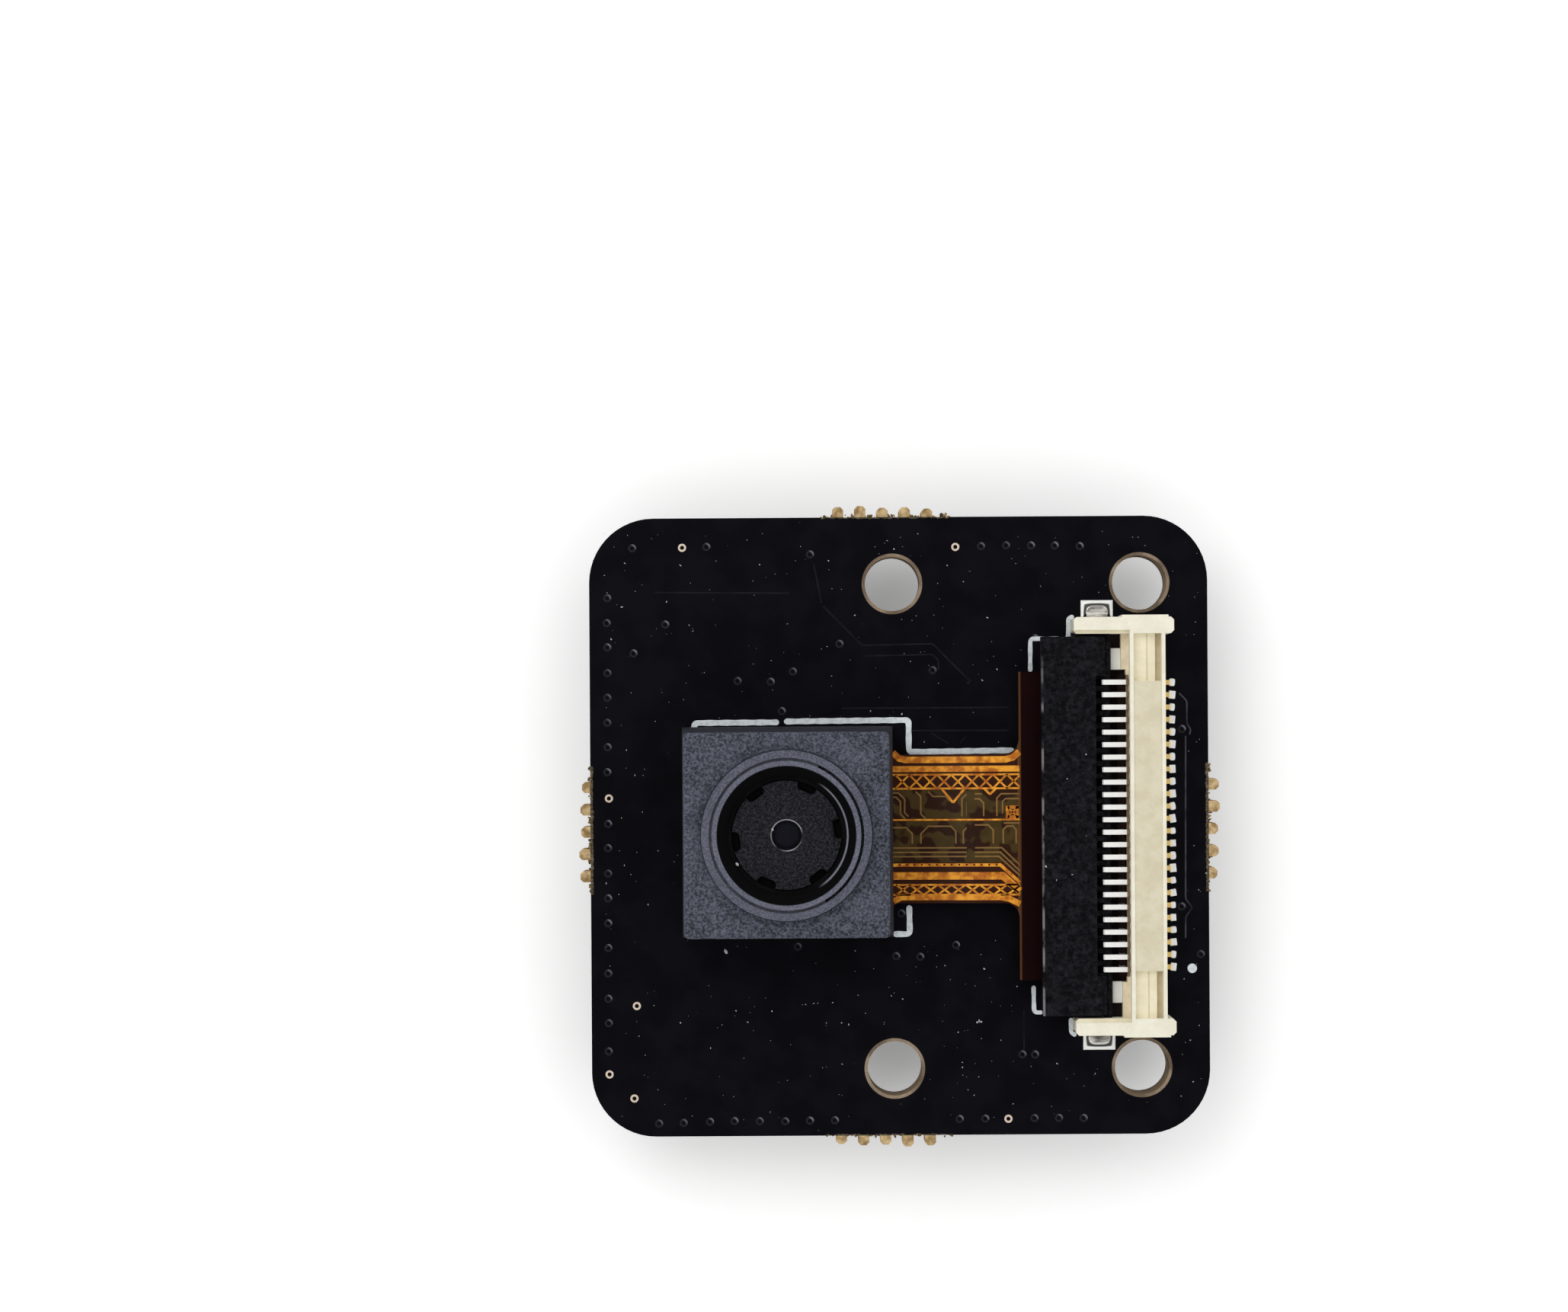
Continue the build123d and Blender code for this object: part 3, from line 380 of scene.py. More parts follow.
splinters = grow(
    splinter_tree,
    list(along_tabs(chance, splinter_count, nearest=-0.03, furthest=0.05, lowest=0.3, highest=1.0)),
    {"Length": splinter_length * MM, "Radius": splinter_radius * MM, "Seed": splinter_seed},
    fibre,
)
add_piece("tab_splinters", splinters, fibre, "board")

# Plated vias: small drilled and plated holes that join the copper layers. Most are tented, so that the
# mask dips over a dark ring with a painted highlight on one side, and a few have their copper bare.
via_ring = 0.165
via_hole = 0.085
via_rise = 0.012
tented_vias = [
    (-16.52, 9.29), (-16.55, 8.28), (-16.53, 7.3), (-16.53, 6.26), (-16.54, 5.26), (-16.55, 4.25),
    (-16.54, 3.26), (-16.56, 2.25), (-16.54, 0.16), (-16.55, -0.82), (-16.55, -1.85), (-16.56, -2.85),
    (-16.56, -3.86), (-16.56, -4.86), (-16.57, -5.89), (-16.57, -6.91), (-16.56, -7.9), (-16.57, -9.04),
    (-15.5, 11.3), (-12.5, 11.34), (-8.31, 11.01), (-1.39, 11.3), (-0.38, 11.33), (0.63, 11.32),
    (1.59, 11.31), (2.6, 11.28), (-15.47, 7.05), (-7.14, 7.39), (-9.03, 6.28), (-9.93, 5.87),
    (-11.27, 5.91), (-3.38, 6.3), (-14.18, 8.21), (-9.49, 4.68), (-14.55, -11.97), (-13.56, -11.95),
    (-12.49, -11.91), (-11.5, -11.89), (-10.48, -11.9), (-9.45, -11.91), (-8.45, -11.89), (-7.44, -11.88),
    (-2.39, -11.86), (-1.36, -11.85), (0.63, -11.84), (1.62, -11.84), (2.62, -11.85), (0.16, -9.26),
    (0.67, -9.27), (-2.5, -4.82), (-8.9, -4.85), (-4.92, -5.26), (-3.95, -5.29), (-4.7, -3.53),
    (7.4, -5.25), (6.69, 3.86), (6.64, -3.32), (0.76, 7.56),
]
bare_vias = [
    (-16.5, 1.19), (-13.48, 11.31), (-2.43, 11.28), (-16.54, -9.97), (-15.42, -7.21), (-15.54, -10.95),
    (-0.42, -11.86),
]
painted_highlight_direction = (0.72, 0.68, 0.0)
clear_of_host_x = -9.5


def ring_tree(name):
    """Rings of one size on points, which know how far each of their points lies towards the painted
    highlight.
    """
    tree, given = pattern_tree(name, {"Outer Radius": "Float", "Inner Radius": "Float", "Rise": "Float"})
    both = tree.nodes.new("GeometryNodeJoinGeometry")
    for radius_key in ("Outer Radius", "Inner Radius"):
        outline = {"Resolution": 20, "Radius": given[radius_key]}
        circle = add_node(tree, "GeometryNodeCurvePrimitiveCircle", outline)
        tree.links.new(circle.outputs["Curve"], both.inputs[0])
    flat = add_node(tree, "GeometryNodeFillCurve", {"Curve": both.outputs[0]}).outputs[0]
    thick = {"Mesh": flat, "Offset Scale": given["Rise"], "Individual": False}
    raised = add_node(tree, "GeometryNodeExtrudeMesh", thick)
    underside = add_node(tree, "GeometryNodeFlipFaces", {"Mesh": flat})
    closed = tree.nodes.new("GeometryNodeJoinGeometry")
    tree.links.new(raised.outputs["Mesh"], closed.inputs[0])
    tree.links.new(underside.outputs[0], closed.inputs[0])
    spot = tree.nodes.new("GeometryNodeInputPosition").outputs[0]
    to_side = vector_work(tree, "DOT_PRODUCT", spot, painted_highlight_direction)
    share = work_out(tree, "DIVIDE", to_side, given["Outer Radius"])
    marked = add_node(
        tree,
        "GeometryNodeStoreNamedAttribute",
        {"Geometry": closed.outputs[0], "Name": "side", "Value": share},
        data_type="FLOAT",
        domain="POINT",
    )
    plant(tree, given, marked.outputs[0])
    return tree


via_tree = ring_tree("via_rings")
tented_ring, tree, shader, place = new_finish("tented_ring", {"Specular IOR Level": 0.2, "Roughness": 0.4})
side = add_node(tree, "ShaderNodeAttribute", attribute_name="side").outputs["Fac"]
dull = fade(tree, noise(tree, place, 1.1), 0.35, 0.65)
# Painted highlight: each tented ring turns lighter on the side its points were marked towards, in place of
# light on the mask's dip.
painted_via_highlight = times(tree, fade(tree, side, 0.2, 0.8), work_out(tree, "ADD", 0.45, times(tree, dull, 0.55)))
paint(tree, shader, painted_via_highlight, (24, 24, 30), (104, 105, 116))
emboss(tree, shader, noise(tree, place, 9.0), 0.004)
bare_copper = mottled(
    "bare_via_copper", {"Metallic": 0.2, "Roughness": 0.5}, (8.0,), (186, 164, 146), (238, 224, 206)
)
via_sizes = {"Outer Radius": via_ring * MM, "Inner Radius": via_hole * MM, "Rise": via_rise * MM}
for via_name, via_places, finish in (
    ("tented_vias", tented_vias, tented_ring),
    ("bare_vias", bare_vias, bare_copper),
):
    rings = grow(via_tree, [(x, y, board_top / MM) for x, y in via_places], via_sizes, finish)
    add_piece(via_name, rings, finish, "board")
    far_places = [(x, -y, 0.0) for x, y in via_places if x > clear_of_host_x]
    far_ends = grow(via_tree, far_places, via_sizes, finish)
    far_ends.transform(Matrix.Rotation(math.pi, 4, "X"))
    add_piece(via_name + "_on_back", far_ends, finish, "board")

# Buried copper: tracks of foil, etched before the mask was laid over them. They lift the mask a little,
# and the light its edge catches along them is painted on as paler grey, clearer on the tracks at the right.
track_rise = 0.006
track_width = 0.06
track_bend = 0.12
least_end = 0.08
edge_wander = 0.06
edge_waves = 9
clear_tracks_from = 6.0
track_routes = [
    [(6.59, 5.31), (6.9, 5.0), (6.89, 4.07), (7.06, 3.85), (7.0, 3.64)],
    [(6.84, 3.58), (6.8, -3.02), (7.05, -3.33), (7.04, -3.42), (6.8, -3.73), (6.79, -4.59)],
    [(-14.62, 9.51), (-9.18, 9.45)],
    [(-7.87, 9.0), (-6.22, 7.32), (-3.37, 7.37), (-1.84, 5.82)],
    [(-6.1, 6.89), (-3.38, 6.94), (-3.14, 6.72), (-3.14, 6.3)],
    [(-7.06, 4.78), (-0.31, 4.78)],
    [(-4.22, 3.86), (-0.31, 3.85)],
    [(-3.45, 3.76), (-2.75, 3.33)],
    [(-2.28, 3.33), (-2.03, 3.63)],
    [(0.24, -7.48), (0.23, -9.08)],
    [(-8.16, 10.63), (-7.83, 8.88)],
]


def rounded(route, radius):
    """A route with each of its corners drawn as a curve."""
    points = [Vector(route[0])]
    for before, corner, after in zip(route, route[1:], route[2:]):
        corner = Vector(corner)
        back, ahead = Vector(before) - corner, Vector(after) - corner
        reach = min(radius, back.length / 2, ahead.length / 2)
        start, end = corner + back.normalized() * reach, corner + ahead.normalized() * reach
        for share in (0.0, 0.25, 0.5, 0.75, 1.0):
            points.append(start.lerp(corner, share).lerp(corner.lerp(end, share), share))
    return points + [Vector(route[-1])]


def lay_ribbon(shell, route, width, height_at, thickness, step=None, soft=False):
    """A flat strip along a route, mitred at its corners and laid on a surface; soft ones have round ends."""
    points = [Vector(point) for point in route]
    if step:
        finer = [points[0]]
        for start, end in zip(points, points[1:]):
            pieces = max(1, math.ceil((end - start).length / step))
            finer += [start.lerp(end, number / pieces) for number in range(1, pieces + 1)]
        points = finer
    travelled = [0.0]
    for start, end in zip(points, points[1:]):
        travelled.append(travelled[-1] + (end - start).length)
    rows = []
    for number, point in enumerate(points):
        before = (point - points[number - 1]).normalized() if number else None
        after = (points[number + 1] - point).normalized() if number < len(points) - 1 else None
        before, after = before or after, after or before
        along = (before + after).normalized()
        half = width / 2
        if soft:
            to_end = min(travelled[number], travelled[-1] - travelled[number], half) / half
            round_end = math.sqrt(max(least_end, 1 - (1 - to_end) ** 2))
            half *= round_end * (1 + edge_wander * math.sin(edge_waves * travelled[number]))
        across = Vector((-along.y, along.x)) * (half / max(0.4, along.dot(after)))
        row = []
        for side in (point + across, point - across):
            for level in (thickness, 0.0):
                row.append(shell.verts.new(Vector((side.x, side.y, height_at(side.x) + level)) * MM))
        rows.append(row)
    for first, second in zip(rows, rows[1:]):
        shell.faces.new((first[0], first[2], second[2], second[0]))
        shell.faces.new((first[1], second[1], second[3], first[3]))
        shell.faces.new((first[0], second[0], second[1], first[1]))
        shell.faces.new((first[2], first[3], second[3], second[2]))
    for row, order in ((rows[0], (0, 1, 3, 2)), (rows[-1], (0, 2, 3, 1))):
        shell.faces.new([row[corner] for corner in order])


def as_mesh(shell, name):
    """The mesh of a shell, with its faces turned outward."""
    bmesh.ops.recalc_face_normals(shell, faces=shell.faces)
    mesh = bpy.data.meshes.new(name)
    shell.to_mesh(mesh)
    shell.free()
    return mesh


def ribbons(routes, width, height_at, thickness, step=None, soft=False):
    """All the strips of one kind, as one mesh."""
    shell = bmesh.new()
    for route in routes:
        lay_ribbon(shell, route, width, height_at, thickness, step, soft)
    return as_mesh(shell, "strips")


def on_board(along):
    """The height of the board's face, in millimetres."""
    return board_top / MM


def above(tree, value, limit):
    """1 where the value is over the limit and 0 elsewhere."""
    return work_out(tree, "GREATER_THAN", value, limit)


over_copper, tree, shader, place = new_finish(
    "mask_over_copper", {"Specular IOR Level": 0.12, "Roughness": 0.38}
)
# Painted highlight: the tracks are painted paler than the mask, faint at the left and clearer from
# clear_tracks_from on.
track_tone_drift = fade(tree, noise(tree, place, 1.3, 3.0), 0.3, 0.6)
faint_track_highlight = mix_colours(tree, track_tone_drift, (13, 12, 17), (25, 25, 31))
clear_track_highlight = mix_colours(tree, track_tone_drift, (30, 30, 38), (66, 67, 76))
paint(tree, shader, above(tree, split(tree, place)[0], clear_tracks_from), faint_track_highlight, clear_track_highlight)
tracks = ribbons([rounded(route, track_bend) for route in track_routes], track_width, on_board, track_rise)
add_piece("buried_tracks", tracks, over_copper, "board")

# Dust on the board: pale crumbs and lint that lie on the black mask, the smallest a few hundredths of a
# millimetre across, and along its edges the brown crumbs of laminate that hang on where the tabs tore.
crumb_seed = 11
crumb_radius = (0.022, 0.042)
fine_grit_count = 260
grit_radius = (0.01, 0.02)
torn_count = 300
torn_radius = (0.05, 0.11)
board_crumbs = [
    (-11.41, -7.43), (-9.96, -7.45), (-13.66, -7.9), (-10.94, -7.89), (-12.45, -8.93), (-8.59, -7.19),
    (-8.72, -7.2), (-8.27, -7.15), (-8.1, -7.14), (-7.5, -7.12), (-6.47, -6.83), (-6.18, -7.56),
    (-7.76, -7.94), (-7.14, -7.94), (-6.86, -8.01), (-1.49, -5.21), (-2.95, -5.65), (-1.36, -5.79),
    (-0.04, -6.51), (-0.23, -11.26), (-0.7, -8.68), (-3.8, -11.04), (-7.13, -9.61), (-10.05, -11.52),
    (-15.34, -8.43), (-14.73, -7.19), (-2.25, -10.09), (-2.27, -9.77), (-2.27, -9.57), (-2.43, -8.35),
    (-1.61, -10.16), (-1.8, -10.9), (-5.12, -6.86), (-4.67, -6.99), (-16.63, 10.21), (-15.8, 10.7),
    (-13.55, 10.6), (-14.12, 9.13), (-15.93, 8.93), (-16.37, 7.63), (-13.21, 8.18), (-13.06, 7.94),
    (-7.64, 7.28), (-9.9, 6.73), (-6.51, 8.54), (-5.18, 11.55), (-4.91, 11.21), (-3.94, 11.82),
    (-7.56, 10.75), (-2.76, 10.53), (-1.84, 10.29), (-2.11, 9.87), (-1.15, 8.41), (-4.27, 6.66),
    (-4.63, 4.53), (-7.47, 6.09), (-3.14, 5.77), (-1.37, 5.88), (-0.77, 6.32), (-3.73, 3.4), (-0.73, 3.38),
    (-5.9, 4.66), (-15.78, 3.14), (-10.35, 10.61), (-3.49, 4.41), (6.96, 2.96), (7.33, -2.65),
    (7.39, -2.71), (7.64, -1.97), (7.15, -0.86), (-15.44, 2.12), (-15.11, 2.12), (-15.15, 0.63),
    (-15.89, -1.52), (-15.63, -1.89), (-16.63, -2.24), (-16.12, -2.69), (-14.94, -3.11), (-14.52, -0.94),
    (-15.99, 0.4), (1.68, -6.77), (6.72, -6.25), (7.32, -8.13), (1.56, -9.64), (3.1, -10.05),
    (6.57, -10.99), (7.06, -10.41), (6.95, -8.73),
]
large_crumbs = [
    ((-11.81, -5.02), 0.12),
    ((-1.66, -7.95), 0.07),
    ((-1.58, -7.9), 0.06),
    ((-1.5, -7.93), 0.05),
]
crumb_tree, given = pattern_tree("dust_crumbs", {"Seed": "Int"})
crumb = add_node(crumb_tree, "GeometryNodeMeshIcoSphere", {"Radius": 1.0, "Subdivisions": 1}).outputs["Mesh"]
own_size = add_node(crumb_tree, "GeometryNodeInputNamedAttribute", {"Name": "size"}, data_type="FLOAT")
crumb_shape = random_vector(crumb_tree, (0.7, 0.45, 0.25), (1.5, 0.9, 0.5), given["Seed"])
crumb_turn = random_vector(crumb_tree, (0.0, 0.0, 0.0), (0.0, 0.0, 6.3), given["Seed"])
grown = {0: crumb_shape, "Scale": own_size.outputs[0]}
crumb_scale = add_node(crumb_tree, "ShaderNodeVectorMath", grown, operation="SCALE").outputs[0]
plant(crumb_tree, given, crumb, Rotation=crumb_turn, Scale=crumb_scale)
pale_dust = mottled(
    "pale_dust", {"Roughness": 0.9, "Specular IOR Level": 0.1}, (6.0,), (120, 120, 126), (226, 228, 230)
)


def scatter(name, places, body="module", record_slot="board", finish=pale_dust):
    """Crumbs of the given radius, in millimetres, that lie at the given places."""
    spots = [spot for spot, radius in places]
    mesh = grow(crumb_tree, spots, {"Seed": crumb_seed}, finish, [radius * MM for spot, radius in places])
    return add_piece(name, mesh, finish, record_slot, body, smooth=True)


chance = random.Random(crumb_seed)
scatter(
    "board_dust",
    [((x, y, board_top / MM), chance.uniform(*crumb_radius)) for x, y in board_crumbs]
    + [((x, y, board_top / MM), radius) for (x, y), radius in large_crumbs],
)
fine_grit = []
while len(fine_grit) < fine_grit_count:
    x, y = chance.uniform(-16.9, 7.4), chance.uniform(-12.1, 12.1)
    under_head = -13.6 < x < -0.2 and -4.4 < y < 4.3
    under_connector = 0.3 < x < 6.6 and abs(y) < 9.2
    in_hole = math.hypot(abs(x) - hole_place_x, abs(y) - hole_place_y) < hole_ring_radius + 0.05
    if not (under_head or under_connector or in_hole):
        fine_grit.append(((x, y, board_top / MM), chance.uniform(*grit_radius)))
scatter("fine_grit", fine_grit)
torn_places = along_tabs(chance, torn_count, nearest=-0.02, furthest=0.1, lowest=0.1, highest=0.97)
scatter("torn_laminate", [(spot, chance.uniform(*torn_radius)) for spot in torn_places], finish=fibre)

# Silkscreen: white ink printed through a mesh, 20 microns thick, with soft corners and slightly ragged
# edges. Only plain outlines of the parts and the dot at the connector's first contact are printed.
ink_rise = 0.02
wide_line = 0.23
thin_line = 0.17
corner_round = 0.16
ink_step = 0.05
thick_routes = [
    [(-13.03, 3.9), (-13.03, 4.22), (-9.6, 4.23)],
    [(-9.4, 4.26), (-4.36, 4.29), (-4.36, 3.0), (-0.1, 3.04)],
    [(-4.38, -3.2), (-4.36, -4.37), (-5.04, -4.36)],
]
thin_routes = [
    [(0.57, 6.2), (0.58, 7.55), (2.12, 7.54), (2.12, 8.36), (2.35, 8.45)],
    [(0.63, -6.48), (0.64, -7.57), (1.0, -7.57)],
    [(2.13, -7.8), (2.13, -8.4), (2.35, -8.51)],
]
white_ink = mottled(
    "white_ink",
    {"Roughness": 0.6, "Specular IOR Level": 0.3},
    (5.0, 3.0),
    (196, 204, 208),
    (224, 230, 232),
    ends=(0.3, 0.6),
    depth=0.01,
    own_lumps=(20.0,),
)
for ink_name, routes, width in (
    ("outline_ink", thick_routes, wide_line),
    ("connector_outline_ink", thin_routes, thin_line),
):
    soft_routes = [rounded(route, corner_round) for route in routes]
    lines = ribbons(soft_routes, width, on_board, ink_rise, ink_step, soft=True)
    add_piece(ink_name, lines, white_ink, "board")
dot_radius = 0.19
closed_hole = 0.004
dot = grow(
    ring_tree("printed_dot"),
    [(7.05, -5.82, board_top / MM)],
    {"Outer Radius": dot_radius * MM, "Inner Radius": closed_hole * MM, "Rise": ink_rise * MM},
    white_ink,
)
add_piece("first_contact_dot", dot, white_ink, "board")

# Foam adhesive and stiffener under the camera head: a black double-sided pad, and the thin laminate
# plate that keeps the film flat behind the image sensor.
foam = mottled(
    "foam_adhesive",
    {"Roughness": 0.95, "Specular IOR Level": 0.1},
    (14.0, 3.0),
    (20, 20, 20),
    (58, 56, 54),
    depth=0.03,
)
clothe("adhesive_pad", foam)
stiffener_plate = mottled(
    "stiffener_laminate",
    {"Roughness": 0.7, "Specular IOR Level": 0.2},
    (10.0, 3.0),
    (18, 16, 14),
    (54, 44, 34),
    depth=0.01,
    own_lumps=(16.0,),
)
clothe("sensor_stiffener", stiffener_plate)

# Film circuit: two layers of etched copper between amber polyimide covers. Bare film over its dark
# adhesive shows brown between the copper, and olive where the ground mesh lies on the far side.
film_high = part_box("camera_flex")[1]
head_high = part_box("sensor_stiffener")[1]
film_thickness = 0.12
film_seat = film_high.z / MM
film_base = head_high.z / MM + film_thickness
neck_left = head_high.x / MM
tee_left = 0.05
neck_straight = 0.8


def on_film(along):
    """The height of the film's upper face: flat, an easy rise in the middle of the neck, flat."""
    share = (along - neck_left - neck_straight) / (tee_left - neck_left - 2 * neck_straight)
    share = min(1.0, max(0.0, share))
    return film_base + (film_seat - film_base) * share * share * (3 - 2 * share)


polyimide, tree, shader, place = new_finish("polyimide_film", {"Roughness": 0.3, "Specular IOR Level": 0.22})
place_x, place_y, place_z = split(tree, place)
middle = times(tree, below(tree, place_y, 1.5), above(tree, place_y, -1.45))
grime = noise(tree, place, 2.2, 4.0)
gap_colour = mix_colours(tree, grime, (32, 11, 4), (64, 29, 9))
olive = mix_colours(tree, grime, (50, 37, 14), (84, 66, 30))
far_gaps = fade(tree, noise(tree, place, 1.5, 1.0), 0.46, 0.53)
film_colour = mix_colours(tree, middle, gap_colour, mix_colours(tree, far_gaps, (44, 20, 7), olive))
paint(tree, shader, above(tree, place_x, tee_left - 0.06), film_colour, (96, 62, 34))
emboss(tree, shader, noise(tree, place, 6.0), 0.01)
clothe("camera_flex", polyimide)

copper_rise = 0.018
fine_rise = 0.012
copper_sunk = 0.004
fine_line = 0.06
film_step = 0.2


def on_copper(along):
    """Just in the film's face, so that the copper's bulge grows out of it."""
    return on_film(along) - copper_sunk


amber_copper = mottled(
    "copper_under_amber_film",
    {"Metallic": 0.15, "Roughness": 0.4, "Specular IOR Level": 0.4},
    (3.2, 4.0),
    (178, 94, 10),
    (250, 168, 46),
    ends=(0.32, 0.68),
    depth=0.01,
    own_lumps=(8.0,),
)
dull_copper = mottled(
    "far_copper_under_film",
    {"Roughness": 0.4, "Specular IOR Level": 0.35},
    (3.0, 3.0),
    (104, 76, 38),
    (150, 112, 58),
)
right_end = tee_left + 0.02
lattice_pitch = 0.56
lattice_line = 0.075
wide_tracks = [
    ([(neck_left, 2.98), (neck_left + 0.25, 2.74), (neck_left + 0.5, 2.68), (-0.5, 2.68), (-0.2, 2.76),
      (right_end, 2.99)], 0.26),
    ([(neck_left, 2.31), (right_end, 2.31)], 0.24),
    ([(neck_left, -2.0), (-0.62, -2.0), (right_end, -2.62)], 0.3),
    ([(neck_left, -1.56), (-0.72, -1.56), (right_end, -2.28)], 0.13),
    ([(neck_left, -3.02), (neck_left + 0.3, -2.86), (-0.72, -2.86), (-0.35, -2.93),
      (right_end, -3.14)], 0.24),
    ([(neck_left, 0.26), (-3.0, 0.26), (-2.6, 0.26), (right_end, 0.26)], 0.07),
]
for low, high in ((1.52, 2.08), (-2.76, -2.36)):
    for border in (low, high):
        wide_tracks.append(([(neck_left, border), (right_end, border)], lattice_line))
    for number in range(9):
        start = neck_left + 0.1 + number * lattice_pitch
        end = min(start + lattice_pitch, right_end)
        rise = (high - low) * (end - start) / lattice_pitch
        wide_tracks.append(([(start, low), (end, low + rise)], lattice_line))
        wide_tracks.append(([(start, high), (end, high - rise)], lattice_line))
patch_x, patch_y = -0.22, 0.56
for shift in (-0.2, 0.2):
    wide_tracks.append(([(patch_x - 0.2, patch_y + shift), (patch_x + 0.25, patch_y + shift)], 0.13))
    wide_tracks.append(([(patch_x + shift, patch_y - 0.25), (patch_x + shift, patch_y + 0.25)], 0.13))
for slope in (0.16, -0.16):
    wide_tracks.append(([(patch_x - 0.16, patch_y - slope), (patch_x + 0.16, patch_y + slope)], 0.07))
for tip_x, tip_y, reach in ((-2.6, 0.95, 0.45), (-1.12, 1.28, 0.22)):
    for turn in (-1, 1):
        wide_tracks.append(([(tip_x + turn * reach, 1.5), (tip_x, tip_y)], 0.09))
amber_shell = bmesh.new()
for route, width in wide_tracks:
    lay_ribbon(amber_shell, route, width, on_copper, copper_rise, film_step)
add_piece("film_copper", as_mesh(amber_shell, "amber_copper"), amber_copper, "film")
fine_tracks = [
    [(neck_left, -0.87), (-0.66, -0.87), (right_end, -1.58)],
    [(neck_left, -1.05), (-0.72, -1.05), (right_end, -1.82)],
    [(neck_left, -1.22), (-0.78, -1.22), (right_end, -2.0)],
    [(neck_left, 1.35), (-4.8, 1.35), (-4.55, 1.1), (-4.55, 0.55), (-4.4, 0.4)],
    [(neck_left, 1.18), (-4.9, 1.18), (-4.72, 1.0), (-4.72, 0.5), (-4.5, 0.26)],
    [(-4.1, 1.4), (-3.9, 1.2), (-3.9, 0.5), (-3.7, 0.3)],
    [(-3.6, 1.4), (-3.4, 1.2), (-2.9, 1.2), (-2.7, 1.0)],
    [(-2.25, 0.4), (-2.25, 1.1), (-2.05, 1.3), (-1.45, 1.3)],
    [(-2.05, 0.4), (-2.05, 0.95), (-1.9, 1.1), (-1.55, 1.1), (-1.38, 0.93), (-1.38, 0.4)],
    [(-0.85, 0.4), (-0.85, 1.12), (-0.68, 1.3), (right_end, 1.3)],
    [(-0.62, 0.5), (-0.62, 0.98), (-0.5, 1.1), (right_end, 1.1)],
    [(-3.9, -0.7), (-3.9, -0.3), (-3.6, 0.0), (-2.7, 0.0), (-2.5, -0.2), (-2.5, -0.7)],
    [(-2.2, -0.7), (-2.2, -0.2), (-1.95, 0.05), (-1.2, 0.05), (-1.0, -0.15), (-1.0, -0.7)],
    [(-0.6, -0.7), (-0.6, -0.15), (-0.45, 0.0), (-0.2, 0.0), (-0.08, -0.15), (-0.08, -0.7)],
    [(neck_left, -0.05), (-4.5, -0.05), (-4.25, -0.3), (-4.25, -0.7)],
    [(-0.58, 0.12), (right_end, 0.12)],
]
fine_copper = ribbons(fine_tracks, fine_line, on_copper, fine_rise, film_step)
add_piece("film_fine_copper", fine_copper, dull_copper, "film")
stitch_hole = 0.04
stitch_pitch = 0.3
stitch_y = -1.55
stitch_row = [neck_left + 0.25 + stitch_pitch * number for number in range(15)]
dark_film = mottled(
    "dark_film", {"Roughness": 0.5, "Specular IOR Level": 0.2}, (9.0,), (44, 20, 8), (92, 50, 18)
)
stitches = grow(
    ring_tree("film_stitch_holes"),
    [(along, stitch_y, on_film(along) + 0.001) for along in stitch_row],
    {"Outer Radius": stitch_hole * MM, "Inner Radius": closed_hole * MM, "Rise": (copper_rise + 0.004) * MM},
    dark_film,
)
add_piece("film_stitch_holes", stitches, dark_film, "film")

# Film end stiffener: a dark red-brown polyimide strip bonded on the end of the film, which the
# connector's lock presses on. It has fine lint on it and a slight sheen.
film_end, tree, shader, place = new_finish("film_end_strip", {"Roughness": 0.34, "Specular IOR Level": 0.04})
strip_colour = mix_colours(tree, noise(tree, place, 0.8, 4.0), (18, 5, 6), (28, 9, 10))
paint(tree, shader, specks(tree, place, 0.5, 0.05, 0.06), strip_colour, (84, 64, 62))
emboss(tree, shader, noise(tree, place, 10.0), 0.005)
clothe("flex_end_stiffener", film_end)

# Image sensor and infrared filter: a dark silicon die bonded on the film, and the coated glass square over
# it under the lens.
silicon = mottled(
    "silicon_die", {"Metallic": 0.3, "Roughness": 0.2}, (1.4, 3.0), (6, 4, 4), (14, 9, 10), ends=(0.3, 0.7)
)
clothe("image_sensor", silicon)
clear_glass = {"Transmission Weight": 1.0, "Roughness": 0.02, "IOR": 1.5, "Specular IOR Level": 0.1}
filter_glass = mottled("filter_glass", clear_glass, (0.4,), (190, 226, 230), (206, 236, 236))
clothe("infrared_filter", filter_glass)

# Lens holder: injection-moulded in glass-filled plastic, blue-grey with a coarse eroded grain on its top
# and walls, a small chamfer round the top, and a smoother raised collar round the lens bore.
holder_low, holder_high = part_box("lens_holder")
head_x = (holder_low.x + holder_high.x) / 2 / MM
head_y = (holder_low.y + holder_high.y) / 2 / MM
collar_drop = 0.36
weld_distance = 0.0005
sharp_from = math.radians(28)


def finished_copy(node, name, edge_radius, finish, record_slot, body="module"):
    """The solid again with its moulded edges rounded off, shown in its place."""
    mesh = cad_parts[node].data.copy()
    for left_over in [item.name for item in mesh.attributes if item.name == "custom_normal"]:
        mesh.attributes.remove(mesh.attributes[left_over])
    shell = bmesh.new()
    shell.from_mesh(mesh)
    bmesh.ops.remove_doubles(shell, verts=shell.verts, dist=weld_distance * MM)
    bmesh.ops.join_triangles(
        shell,
        faces=shell.faces,
        angle_face_threshold=math.radians(0.5),
        angle_shape_threshold=math.radians(80),
    )
    shell.to_mesh(mesh)
    shell.free()
    piece = add_piece(name, mesh, finish, record_slot, body, smooth=True)
    mesh.set_sharp_from_angle(angle=sharp_from)
    rounding = piece.modifiers.new("rounded_edges", "BEVEL")
    rounding.width = edge_radius * MM
    rounding.segments = 2
    rounding.limit_method = "ANGLE"
    rounding.angle_limit = sharp_from
    rounding.harden_normals = True
    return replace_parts(piece, node)


def from_axis(tree, place):
    """Where a point is from the optical axis, in millimetres, and how far."""
    centred = vector_work(tree, "ADD", place, (-head_x, -head_y, 0.0))
    flat = vector_work(tree, "MULTIPLY", centred, (1.0, 1.0, 0.0))
    return flat, vector_work(tree, "LENGTH", flat)


